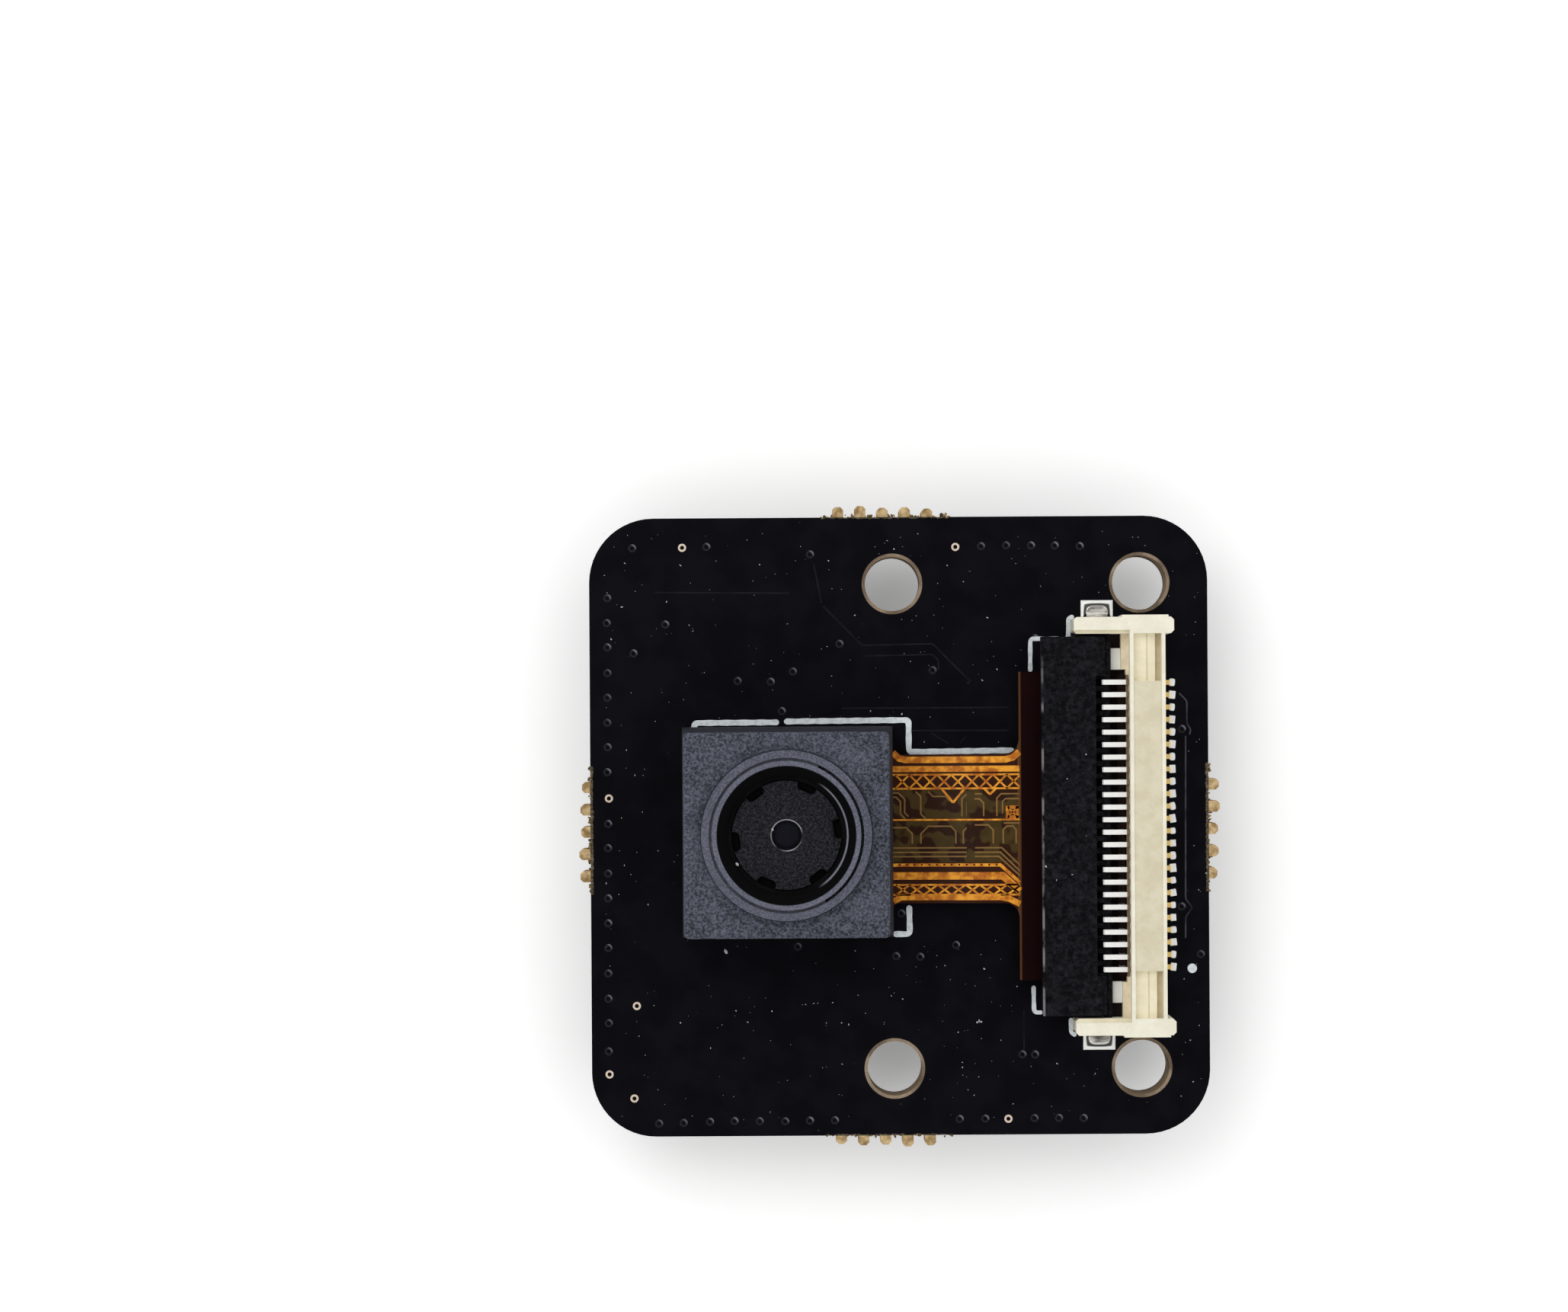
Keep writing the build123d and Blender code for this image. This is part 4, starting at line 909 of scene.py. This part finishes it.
def grained_plastic(tree, place, lumps, dark, light):
    """Colour of the head's plastic, and the grain that it follows."""
    grain = fade(tree, noise(tree, place, lumps, 3.0, 0.6), 0.34, 0.66)
    broad = fade(tree, noise(tree, place, 0.6, 2.0), 0.35, 0.65)
    share = work_out(tree, "ADD", times(tree, grain, 0.82), times(tree, broad, 0.18))
    return mix_colours(tree, share, dark, light), grain


holder_plastic, tree, shader, place = new_finish("grained_holder_plastic", {"Specular IOR Level": 0.2})
coarse_colour, grain = grained_plastic(tree, place, 11.0, (32, 35, 43), (98, 102, 116))
smooth_colour, fine_grain = grained_plastic(tree, place, 12.0, (68, 71, 83), (104, 107, 121))
collar = above(tree, split(tree, place)[2], holder_high.z / MM - collar_drop)
holder_colour = mix_colours(tree, collar, coarse_colour, smooth_colour)
# Painted shade: faces that turn from up to steep take a darker copy of the grain, in place of the shade on
# the walls.
shaded_wall_colour = mix_colours(tree, grain, (24, 26, 32), (56, 59, 69))
holder_colour = mix_colours(tree, fade(tree, upward(tree), 0.5, 0.2), holder_colour, shaded_wall_colour)
paint(tree, shader, specks(tree, place, 0.7, 0.045, 0.08), holder_colour, (168, 174, 184))
roughen(tree, shader, fine_grain, 0.5, 0.2)
emboss(tree, shader, grain, 0.02)
finished_copy("lens_holder", "lens_holder_moulding", 0.05, holder_plastic, "holder")

# Lens barrel: moulded in the same grey plastic and screwed in for focus. The cone in front and the bore
# behind it are blackened against stray light, and the step in the cone has a painted highlight on one side.
cone_to_rim = (2.70, 2.74)
step_inside = (2.34, 2.36)
step_outside = (2.43, 2.41)
barrel_plastic, tree, shader, place = new_finish("barrel_plastic", {"Specular IOR Level": 0.08})
flat, radius = from_axis(tree, place)
to_right = work_out(tree, "DIVIDE", split(tree, flat)[0], radius)
rim = fade(tree, radius, *cone_to_rim)
rim_colour, grain = grained_plastic(tree, place, 12.0, (80, 83, 95), (112, 115, 128))
cone_colour = mix_colours(tree, noise(tree, place, 6.0, 3.0), (3, 3, 4), (9, 9, 11))
# Painted highlight: the thin ring at the cone's step is painted pale on its right-hand side, in place of
# light caught by that edge.
step_edge = times(tree, fade(tree, radius, *step_inside), fade(tree, radius, *step_outside))
painted_edge_highlight = times(tree, step_edge, fade(tree, to_right, 0.5, 0.72))
paint(tree, shader, rim, mix_colours(tree, painted_edge_highlight, cone_colour, (128, 130, 140)), rim_colour)
feed(tree, shader, "Roughness", work_out(tree, "SUBTRACT", 0.68, times(tree, rim, 0.15)))
emboss(tree, shader, grain, 0.01)
finished_copy("lens_barrel", "lens_barrel_turned", 0.03, barrel_plastic, "barrel")

# Bead of glue: grey-black adhesive run into the groove round the barrel after focusing, with a soft
# uneven top.
cured_glue = mottled(
    "cured_glue",
    {"Specular IOR Level": 0.4, "Roughness": 0.35},
    (3.5, 3.0),
    (66, 69, 80),
    (104, 107, 120),
    depth=0.12,
)
clothe("barrel_glue", cured_glue)

# Front retainer: a matte disc of black-filled plastic with rounded grip notches for the assembly tool
# and the small entrance aperture, whose edge is bright; its face is spark-eroded and holds crumbs.
disc_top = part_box("front_retainer")[1].z / MM
face_to_hole = (0.61, 0.58)
lip_inside = (0.585, 0.6)
lip_outside = (0.64, 0.62)
retainer_plastic, tree, shader, place = new_finish("spark_eroded_black", {"Specular IOR Level": 0.06})
flat, radius = from_axis(tree, place)
pits = fade(tree, noise(tree, place, 11.0, 4.0, 0.7), 0.34, 0.68)
disc_colour = mix_colours(tree, pits, (12, 12, 15), (54, 54, 60))
disc_colour = mix_colours(tree, fade(tree, radius, *face_to_hole), disc_colour, (9, 9, 10))
bright_edge = times(tree, fade(tree, radius, *lip_inside), fade(tree, radius, *lip_outside))
# The ring round the aperture is painted pale, broken into patches by noise.
patchy_pale_edge = times(tree, bright_edge, fade(tree, noise(tree, place, 1.4, 2.0), 0.3, 0.65))
disc_colour = mix_colours(tree, patchy_pale_edge, disc_colour, (168, 169, 174))
paint(tree, shader, specks(tree, place, 0.55, 0.05, 0.05), disc_colour, (190, 192, 194))
roughen(tree, shader, pits, 0.6, 0.25)
emboss(tree, shader, pits, 0.02)
finished_copy("front_retainer", "front_retainer_disc", 0.03, retainer_plastic, "retainer")
disc_crumbs = [((-11.21, -1.32, disc_top), 0.08), ((-9.82, 0.03, disc_top), 0.05)]
scatter("retainer_dust", disc_crumbs, record_slot="retainer")

# Lens elements and spacers: moulded clear plastic with a faint violet coating, parted by rings punched
# out of black film.
clear_plastic = {"Transmission Weight": 1.0, "Roughness": 0.03, "IOR": 1.53, "Specular IOR Level": 0.1}
coated_lens = mottled("coated_lens", clear_plastic, (0.5,), (196, 204, 226), (220, 216, 236))
for lens in ("front_lens", "middle_lens", "rear_lens"):
    clothe(lens, coated_lens)
black_film = mottled(
    "black_spacer_film", {"Roughness": 0.7, "Specular IOR Level": 0.1}, (11.0,), (8, 8, 8), (24, 24, 24)
)
for spacer in ("front_spacer", "rear_spacer"):
    clothe(spacer, black_film)

# Film connector housing: a pale liquid-crystal polymer moulding in a thin wall round 24 slots. The rims
# keep the plain cream and the sunk flat of its bar is darker and more yellow; the pockets, their trench and
# the off-white guide nubs are painted lighter as painted light, and the deep floor is painted shade.
housing_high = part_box("flex_connector_housing")[1]
contacts_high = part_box("flex_connector_contacts")[1]
bar_front = housing_high.x / MM - 1.77
row_half = 6.05
mouth_floor = 1.15
end_wall = 0.68
ledge_shade_from = 0.3
row_floor = 0.75
connector_polymer, tree, shader, place = new_finish(
    "cream_connector_polymer", {"Specular IOR Level": 0.25, "Roughness": 0.5}
)
place_x, place_y, place_z = split(tree, place)
flow = fade(tree, noise(tree, place, 1.6, 5.0, 0.65), 0.35, 0.65)
facing_up = above(tree, upward(tree), 0.6)
below_top = work_out(tree, "SUBTRACT", housing_high.z / MM, place_z)
cream = mix_colours(tree, flow, (232, 227, 207), (241, 237, 219))
# Painted light by depth: the sunk flat has its own darker, yellower tone; the pockets, the trench and the
# guide nubs are painted lighter against the shade they lie in.
for depth, dark, light in (
    (0.02, (211, 202, 174), (221, 213, 187)),
    (0.12, (234, 225, 196), (244, 236, 208)),
    (0.45, (222, 205, 172), (238, 224, 194)),
    (0.85, (252, 250, 240), (255, 255, 250)),
):
    level = times(tree, above(tree, below_top, depth), facing_up)
    cream = mix_colours(tree, level, cream, mix_colours(tree, flow, dark, light))
in_mouth = below(tree, place_x, bar_front - 0.005)
from_middle = work_out(tree, "ABSOLUTE", place_y)
in_row = times(tree, below(tree, from_middle, row_half), in_mouth)
# Painted shade: the ledge along the contact row, below the rims, is painted brown-grey.
ledge_shade_colour = mix_colours(tree, flow, (128, 106, 82), (150, 128, 102))
cream = mix_colours(tree, times(tree, in_row, above(tree, below_top, ledge_shade_from)), cream, ledge_shade_colour)
# Painted shade: the deep floor of the mouth and the floor under the contact row are painted dark maroon.
row_floor_shade = times(tree, in_row, above(tree, below_top, row_floor))
deep_shade = either(tree, above(tree, below_top, mouth_floor), row_floor_shade)
between_walls = below(tree, from_middle, housing_high.y / MM - end_wall)
deep_shade = times(tree, deep_shade, times(tree, in_mouth, between_walls))
paint(tree, shader, deep_shade, cream, mix_colours(tree, flow, (28, 14, 12), (46, 26, 22)))
emboss(tree, shader, noise(tree, place, 9.0, 3.0), 0.012)
finished_copy("flex_connector_housing", "flex_connector_moulding", 0.035, connector_polymer, "connector")

# Contacts of the film connector: spring bronze stamped in one piece, tin on the fork, with a flash of
# gold on the tail that is soldered to the board.
tin_to_gold = (housing_high.x / MM - 0.5, housing_high.x / MM - 0.42)
contact_metal, tree, shader, place = new_finish("plated_contact", {"Metallic": 0.2})
place_x = split(tree, place)[0]
tail = fade(tree, place_x, *tin_to_gold)
drawn = noise(tree, place, 9.0, 3.0)
silver = mix_colours(tree, drawn, (244, 243, 238), (255, 255, 253))
# Painted shade: the beams turn brown-grey where they pass under the front of the bar.
shaded_beam_root = fade(tree, apart(tree, place_x, bar_front), 0.15, 0.11)
paint(tree, shader, tail, mix_colours(tree, shaded_beam_root, silver, (122, 100, 76)), (240, 204, 120))
roughen(tree, shader, drawn, 0.3, 0.15)
emboss(tree, shader, noise(tree, place, 30.0), 0.006)
finished_copy("flex_connector_contacts", "flex_connector_springs", 0.025, contact_metal, "contact")

# Solder on the film connector: each tail sits in a small bright joint on its pad, some square where the
# pad filled and some drawn up round.
contact_pitch = 0.5
contact_count = 24
joint_x = contacts_high.x / MM + 0.1
joint_length = 0.27
joint_width = 0.31
joint_height = 0.14
joint_middle = 0.3
joint_tree, given = pattern_tree(
    "solder_joints", {"Length": "Float", "Width": "Float", "Height": "Float", "Roundness": "Float"}
)
sides = {0: given["Length"], 1: given["Width"], 2: given["Height"]}
size = add_node(joint_tree, "ShaderNodeCombineXYZ", sides).outputs[0]
block = {"Size": size, "Vertices X": 3, "Vertices Y": 3, "Vertices Z": 2}
block = add_node(joint_tree, "GeometryNodeMeshCube", block).outputs["Mesh"]
rounding = {"Mesh": block, "Level": 2, "Edge Crease": given["Roundness"]}
drop = add_node(joint_tree, "GeometryNodeSubdivisionSurface", rounding).outputs["Mesh"]
turn = random_vector(joint_tree, (-0.15, -0.15, -0.2), (0.15, 0.15, 0.2), 3)
stretch = random_vector(joint_tree, (0.85, 0.85, 0.8), (1.05, 1.1, 1.15), 5)
plant(joint_tree, given, drop, Rotation=turn, Scale=stretch)
solder = mottled(
    "bright_solder",
    {"Metallic": 0.05},
    (5.0, 4.0),
    (240, 240, 238),
    (255, 255, 255),
    rough=(0.25, 0.2),
    depth=0.02,
    own_lumps=(12.0,),
)
joint_rows = [(number - (contact_count - 1) / 2) * contact_pitch for number in range(contact_count)]
joint_sizes = {"Length": joint_length * MM, "Width": joint_width * MM, "Height": joint_height * MM}
joint_z = board_top / MM + joint_height * joint_middle
for joint_name, first, crease in (("square_joints", 0, 0.75), ("round_joints", 1, 0.0)):
    places = [(joint_x, along, joint_z) for along in joint_rows[first::2]]
    joints = grow(joint_tree, places, {**joint_sizes, "Roundness": crease}, solder)
    add_piece(joint_name, joints, solder, "contact", smooth=True)

# Hold-downs of the film connector: stamped tin-plated tabs pressed in its end walls, each with a
# round-nosed foot in a wide pool of solder on a rectangular pad.
tabs_low, tabs_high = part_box("flex_connector_hold_downs")
tin_plate, tree, shader, place = new_finish("tin_plate", {"Metallic": 0.7})
stain = fade(tree, noise(tree, drawn_out(tree, place, 0.0, 4.0), 6.0, 4.0), 0.3, 0.7)
paint(tree, shader, stain, (120, 116, 108), (246, 244, 238))
roughen(tree, shader, stain, 0.25, 0.25)
emboss(tree, shader, noise(tree, place, 10.0), 0.01)
finished_copy("flex_connector_hold_downs", "flex_connector_tabs", 0.03, tin_plate, "contact")
pad_length = 1.3
pad_reach = 0.74
pool_height = 0.1
foot_nose = 0.28
pool_steps = (0.0, 0.3, 0.5, 0.65, 0.8, 1.0)
pool_skin = 0.006
nose_steps = 24
pad_squareness = 1.5
pool_solder, tree, shader, place = new_finish("drawn_up_solder", {"Metallic": 0.2, "Roughness": 0.3})
wetted = add_node(tree, "ShaderNodeAttribute", attribute_name="wetted").outputs["Fac"]
# Painted shade: a dark band is painted on the solder where it turns up the metal, in place of the dark a
# steep meniscus reflects.
meniscus_shade = times(tree, fade(tree, wetted, 0.4, 0.6), fade(tree, wetted, 1.0, 0.85))
frost = noise(tree, place, 5.0, 4.0)
paint(tree, shader, meniscus_shade, mix_colours(tree, frost, (232, 232, 228), (255, 255, 253)), (52, 48, 44))
emboss(tree, shader, frost, 0.02)


def bridge(shell, rings, closed=False):
    """Faces between each ring of points and the next."""
    for outer, inner in zip(rings, rings[1:]):
        for number in range(len(outer) if closed else len(outer) - 1):
            after = (number + 1) % len(outer)
            shell.faces.new((outer[number], outer[after], inner[after], inner[number]))


def add_solder(name, shell, shares):
    """A shell of solder as a piece whose points know how far up the metal they are drawn."""
    mesh = bpy.data.meshes.new(name)
    shell.to_mesh(mesh)
    shell.free()
    mesh.attributes.new("wetted", "FLOAT", "POINT").data.foreach_set("value", shares)
    add_piece(name, mesh, pool_solder, "contact", smooth=True)


def solder_pool(name, centre_x, wall_y, outward):
    """Solder round a round-nosed foot: flat at the pad's edge and drawn up where it wets the metal."""
    shell = bmesh.new()
    half_flat = (tabs_high.x - tabs_low.x) / 2 / MM - foot_nose
    foot_out = abs(tabs_high.y) / MM - abs(wall_y)
    rings = []
    for share in pool_steps:
        level = board_top / MM + pool_height * share**2 + pool_skin
        ring = []
        for number in range(nose_steps + 1):
            angle = math.pi * number / nose_steps
            side = (number < nose_steps / 2) - (number > nose_steps / 2)
            nose_x = half_flat * side + foot_nose * math.cos(angle)
            nose_y = foot_out - foot_nose + foot_nose * math.sin(angle)
            pad_x = pad_length / 2 * max(-1.0, min(1.0, pad_squareness * math.cos(angle)))
            pad_y = pad_reach * max(0.0, min(1.0, pad_squareness * math.sin(angle)))
            spot = Vector((pad_x, pad_y)).lerp(Vector((nose_x, nose_y)), share)
            ring.append(shell.verts.new(Vector((centre_x + spot.x, wall_y + outward * spot.y, level)) * MM))
        rings.append(ring)
    bridge(shell, rings)
    skirt = [shell.verts.new(vertex.co - Vector((0, 0, 2 * pool_skin * MM))) for vertex in rings[0]]
    bridge(shell, [skirt, rings[0]])
    bmesh.ops.recalc_face_normals(shell, faces=shell.faces)
    if sum(face.normal.z * face.calc_area() for face in shell.faces) < 0:
        bmesh.ops.reverse_faces(shell, faces=shell.faces)
    add_solder(name, shell, [share for share in (*pool_steps, 0.0) for vertex in skirt])


tab_middle = (tabs_low.x + tabs_high.x) / 2 / MM
wall_face = 8.35
solder_pool("upper_tab_solder", tab_middle, wall_face, 1)
solder_pool("lower_tab_solder", tab_middle, -wall_face, -1)

# Flip lock: black glass-filled polymer bar with a slot over each contact, matte, mottled and dusty, its
# front edge lit by a thin painted highlight.
lock_low, lock_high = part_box("flip_lock")
lock_top = lock_high.z / MM
edge_highlight_width = 0.085
edge_highlight_height = 0.1
lock_polymer, tree, shader, place = new_finish("scuffed_lock_polymer", {"Specular IOR Level": 0.06})
place_x, place_y, place_z = split(tree, place)
fleck = fade(tree, noise(tree, place, 5.0, 5.0, 0.7), 0.38, 0.74)
lock_colour = mix_colours(tree, fleck, (4, 4, 6), (38, 37, 43))
for degrees, share in ((83.0, 0.07), (8.0, 0.05)):
    scuff = specks(tree, drawn_out(tree, place, degrees, 14.0), 0.34, 0.018, share)
    lock_colour = mix_colours(tree, scuff, lock_colour, (74, 74, 79))
lock_colour = mix_colours(tree, specks(tree, place, 0.4, 0.035, 0.06), lock_colour, (96, 97, 101))
# Painted highlight: a thin pale line, patchy by noise, along the top of the front edge.
at_front = below(tree, place_x, lock_low.x / MM + edge_highlight_width)
front_edge = times(tree, at_front, above(tree, place_z, lock_top - edge_highlight_height))
painted_edge_highlight = times(tree, front_edge, fade(tree, noise(tree, place, 0.9, 4.0), 0.44, 0.6))
paint(tree, shader, painted_edge_highlight, lock_colour, (128, 125, 127))
roughen(tree, shader, fleck, 0.5, 0.2)
emboss(tree, shader, fleck, 0.02)
finished_copy("flip_lock", "flip_lock_moulding", 0.03, lock_polymer, "lock", "flip_lock")
scatter(
    "lock_dust",
    [
        ((1.05, -1.6, lock_top), 0.05),
        ((2.68, 2.87, lock_top), 0.035),
        ((1.92, 1.9, lock_top), 0.03),
        ((2.1, -1.93, lock_top), 0.03),
        ((1.47, -2.15, lock_top), 0.03),
    ],
    "flip_lock",
    "lock",
)

# Host connector on the back: the usual 1 mm flat-cable connector, moulded in a cream polymer with a faint
# flow pattern, with fifteen bronze forks.
clothe("host_connector_contacts", contact_metal)
host_polymer = mottled(
    "host_connector_polymer",
    {"Specular IOR Level": 0.25, "Roughness": 0.5},
    (1.2, 5.0, 0.65),
    (218, 210, 186),
    (234, 228, 208),
    ends=(0.35, 0.65),
    depth=0.012,
    own_lumps=(9.0, 3.0),
)
finished_copy("host_connector_housing", "host_connector_moulding", 0.06, host_polymer, "connector")
finished_copy("host_connector_hold_downs", "host_connector_tabs", 0.03, tin_plate, "contact")

# Slide lock of the host connector: dark brown-black polymer, smooth on its bar and finely eroded on
# the grips.
slide_polymer = mottled(
    "slide_lock_polymer",
    {"Specular IOR Level": 0.3},
    (6.0, 4.0, 0.7),
    (22, 20, 20),
    (48, 45, 44),
    ends=(0.4, 0.7),
    rough=(0.42, 0.25),
    depth=0.02,
)
finished_copy("slide_lock", "slide_lock_moulding", 0.06, slide_polymer, "lock", "slide_lock")

# Regulators on the back: black epoxy moulded round the chip, drafted up and down from the mould's parting
# line, with tin-plated gull-wing leads bent down to the board.
epoxy = mottled(
    "epoxy_moulding",
    {"Specular IOR Level": 0.3},
    (12.0, 4.0, 0.7),
    (24, 24, 25),
    (48, 48, 49),
    ends=(0.4, 0.7),
    rough=(0.5, 0.3),
    depth=0.015,
)
finished_copy("regulator_bodies", "regulator_mouldings", 0.04, epoxy, "chip")
finished_copy("regulator_leads", "regulator_gull_wings", 0.02, tin_plate, "contact")

# Clock oscillator: a base of brown-black fired ceramic that holds the crystal, closed by a gold-flashed
# metal lid welded on along its seam.
fired_ceramic = mottled(
    "fired_ceramic",
    {"Roughness": 0.55},
    (10.0, 4.0),
    (58, 52, 46),
    (92, 84, 76),
    depth=0.01,
    own_lumps=(14.0,),
)
finished_copy("oscillator_base", "oscillator_ceramic", 0.03, fired_ceramic, "ceramic")
lid_metal, tree, shader, place = new_finish("flashed_lid", {"Metallic": 1.0})
rolled = noise(tree, vector_work(tree, "MULTIPLY", place, (1.0, 14.0, 1.0)), 3.0, 3.0)
paint(tree, shader, rolled, (196, 184, 150), (232, 222, 190))
roughen(tree, shader, rolled, 0.25, 0.25)
finished_copy("oscillator_lid", "oscillator_lid_welded", 0.03, lid_metal, "lid")

# Chip capacitors, resistors and the ferrite bead: sintered blocks in brown, dark and grey, with both ends
# dipped in tin so that they can be soldered.
for node, name, dark, light, record_slot in (
    ("capacitor_bodies", "capacitor_ceramics", (132, 98, 66), (170, 130, 92), "capacitor"),
    ("resistor_bodies", "resistor_films", (18, 18, 22), (40, 40, 46), "resistor"),
    ("ferrite_body", "ferrite_bead", (52, 52, 56), (84, 84, 88), "ferrite"),
):
    sintered = mottled(name + "_finish", {"Roughness": 0.5}, (12.0, 4.0), dark, light, depth=0.01)
    finished_copy(node, name, 0.02, sintered, record_slot)
for name in ("capacitor", "resistor", "ferrite"):
    finished_copy(name + "_caps", name + "_ends", 0.02, tin_plate, "contact")

# Solder on the back: every chip end, lead foot and connector tail stands in a bright fillet, flat at the
# edge of its pad and drawn up the metal.
fillet_reach = 0.13
fillet_rise = 0.1
foot_level = 0.06
fillet_steps = (0.0, 0.35, 0.7, 1.0)
fillet_skin = 0.006
fillet_overlap = 0.01
pad_corner = 0.09
metal_corner = 0.015
fillet_points = 16


def feet_of(node):
    """The outline of each separate foot that stands on the board's back, in millimetres."""
    shell = bmesh.new()
    shell.from_mesh(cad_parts[node].data)
    bmesh.ops.remove_doubles(shell, verts=shell.verts, dist=weld_distance * MM)
    seen = set()
    feet = []
    for first in shell.verts:
        if first in seen:
            continue
        seen.add(first)
        island = [first]
        for vertex in island:
            for edge in vertex.link_edges:
                other = edge.other_vert(vertex)
                if other not in seen:
                    seen.add(other)
                    island.append(other)
        low = [vertex.co / MM for vertex in island if vertex.co.z / MM > -foot_level]
        if low:
            across, along = [spot.x for spot in low], [spot.y for spot in low]
            feet.append((min(across), max(across), min(along), max(along)))
    shell.free()
    return feet


fillet_levels = [(share, -fillet_rise * share**2 - fillet_skin) for share in fillet_steps]
shell = bmesh.new()
wet_shares = []
for node in (
    "host_connector_contacts",
    "host_connector_hold_downs",
    "regulator_leads",
    "capacitor_caps",
    "resistor_caps",
    "ferrite_caps",
):
    for left, right, front, rear in feet_of(node):
        rings = []
        for share, level in [(0.0, 0.0), *fillet_levels]:
            reach = fillet_reach * (1 - share) - fillet_overlap * share
            corner = pad_corner * (1 - share) + metal_corner
            ring = []
            for number in range(fillet_points):
                angle = math.tau / fillet_points * (number + 0.5)
                middle_x = right + reach - corner if math.cos(angle) > 0 else left - reach + corner
                middle_y = rear + reach - corner if math.sin(angle) > 0 else front - reach + corner
                spot = (middle_x + corner * math.cos(angle), middle_y + corner * math.sin(angle), level)
                ring.append(shell.verts.new(Vector(spot) * MM))
            wet_shares += [share] * fillet_points
            rings.append(ring)
        bridge(shell, rings, closed=True)
        shell.faces.new(rings[0])
        shell.faces.new(rings[-1])
bmesh.ops.recalc_face_normals(shell, faces=shell.faces)
add_solder("back_solder", shell, wet_shares)

# Floor and light: a plain white sheet below that shows its white to the camera and keeps the shadow, an
# even surround that is dark straight overhead, and one large soft lamp above and to the upper left.
floor_drop = 0.03 * MM
floor_size = 0.6
floor_mesh = bpy.data.meshes.new("floor")
floor_z = cad_box[0].z - floor_drop
corners = [(along, across, floor_z) for along, across in ((-1, -1), (1, -1), (1, 1), (-1, 1))]
floor_mesh.from_pydata([(x * floor_size, y * floor_size, z) for x, y, z in corners], [], [(0, 1, 2, 3)])
floor = bpy.data.objects.new("floor", floor_mesh)
bpy.context.scene.collection.objects.link(floor)
floor_glow = 0.2
paper, tree, shader, place = new_finish(
    "white_floor", {"Roughness": 0.9, "Specular IOR Level": 0.0, "Emission Color": (1.0, 1.0, 1.0, 1.0)}
)
paint(tree, shader, noise(tree, place, 0.5, 4.0), (0.93, 0.93, 0.93, 1.0), (0.95, 0.95, 0.95, 1.0))
ray = add_node(tree, "ShaderNodeLightPath").outputs
shown = either(tree, ray["Is Camera Ray"], either(tree, ray["Is Glossy Ray"], ray["Is Transmission Ray"]))
feed(tree, shader, "Emission Strength", times(tree, shown, floor_glow))
floor_mesh.materials.append(paper)

even_light = 1.06
overhead_loss = 0.98
low_loss = 0.6
world = bpy.data.worlds.new("studio")
bpy.context.scene.world = world
world.use_nodes = True
tree = world.node_tree
sky_height = split(tree, add_node(tree, "ShaderNodeTexCoord").outputs["Generated"])[2]
overhead = fade(tree, sky_height, math.cos(math.radians(27)), math.cos(math.radians(12)))
low_sky = fade(tree, sky_height, 0.55, 0.0)
sky = work_out(tree, "SUBTRACT", even_light, times(tree, overhead, overhead_loss))
sky = work_out(tree, "SUBTRACT", sky, times(tree, low_sky, low_loss))
sky = either(tree, sky, add_node(tree, "ShaderNodeLightPath").outputs["Is Camera Ray"])
surround = tree.nodes["Background"]
surround.inputs["Color"].default_value = (1.0, 1.0, 1.0, 1.0)
tree.links.new(sky, surround.inputs["Strength"])
lamp_data = bpy.data.lights.new("soft_lamp", "AREA")
lamp_data.shape = "DISK"
lamp_data.size = 0.16
lamp_data.energy = 0.085
lamp = bpy.data.objects.new("soft_lamp", lamp_data)
lamp.location = (-0.09, 0.1, 0.17)
lamp.rotation_mode = "QUATERNION"
lamp.rotation_quaternion = (Vector((-0.004, 0, 0)) - lamp.location).to_track_quat("-Z", "Y")
bpy.context.scene.collection.objects.link(lamp)

# Camera: straight above the board at arm's length for a small macro shot, with the lens shifted to
# the photograph's framing and the part turned a third of a degree.
camera_height = 140.0
scale_at_board = 32.45
image_width, image_height = 2058, 1722
principal_x, principal_y = 1080, 960
camera_x, camera_y = -7.83, 3.85
camera_data = bpy.data.cameras.new("camera")
camera_data.sensor_width = 36.0
camera_data.lens = scale_at_board * camera_height / image_width * camera_data.sensor_width
camera_data.shift_x = (image_width / 2 - principal_x) / image_width
camera_data.shift_y = -(image_height / 2 - principal_y) / image_width
camera_data.clip_start = 0.01
camera_data.clip_end = 10.0
camera = bpy.data.objects.new("camera", camera_data)
camera.location = (camera_x * MM, camera_y * MM, board_top + camera_height * MM)
camera.rotation_euler = (0.0, 0.0, math.radians(-0.35))
bpy.context.scene.collection.objects.link(camera)
bpy.context.scene.camera = camera
bpy.context.scene.view_settings.view_transform = "Standard"
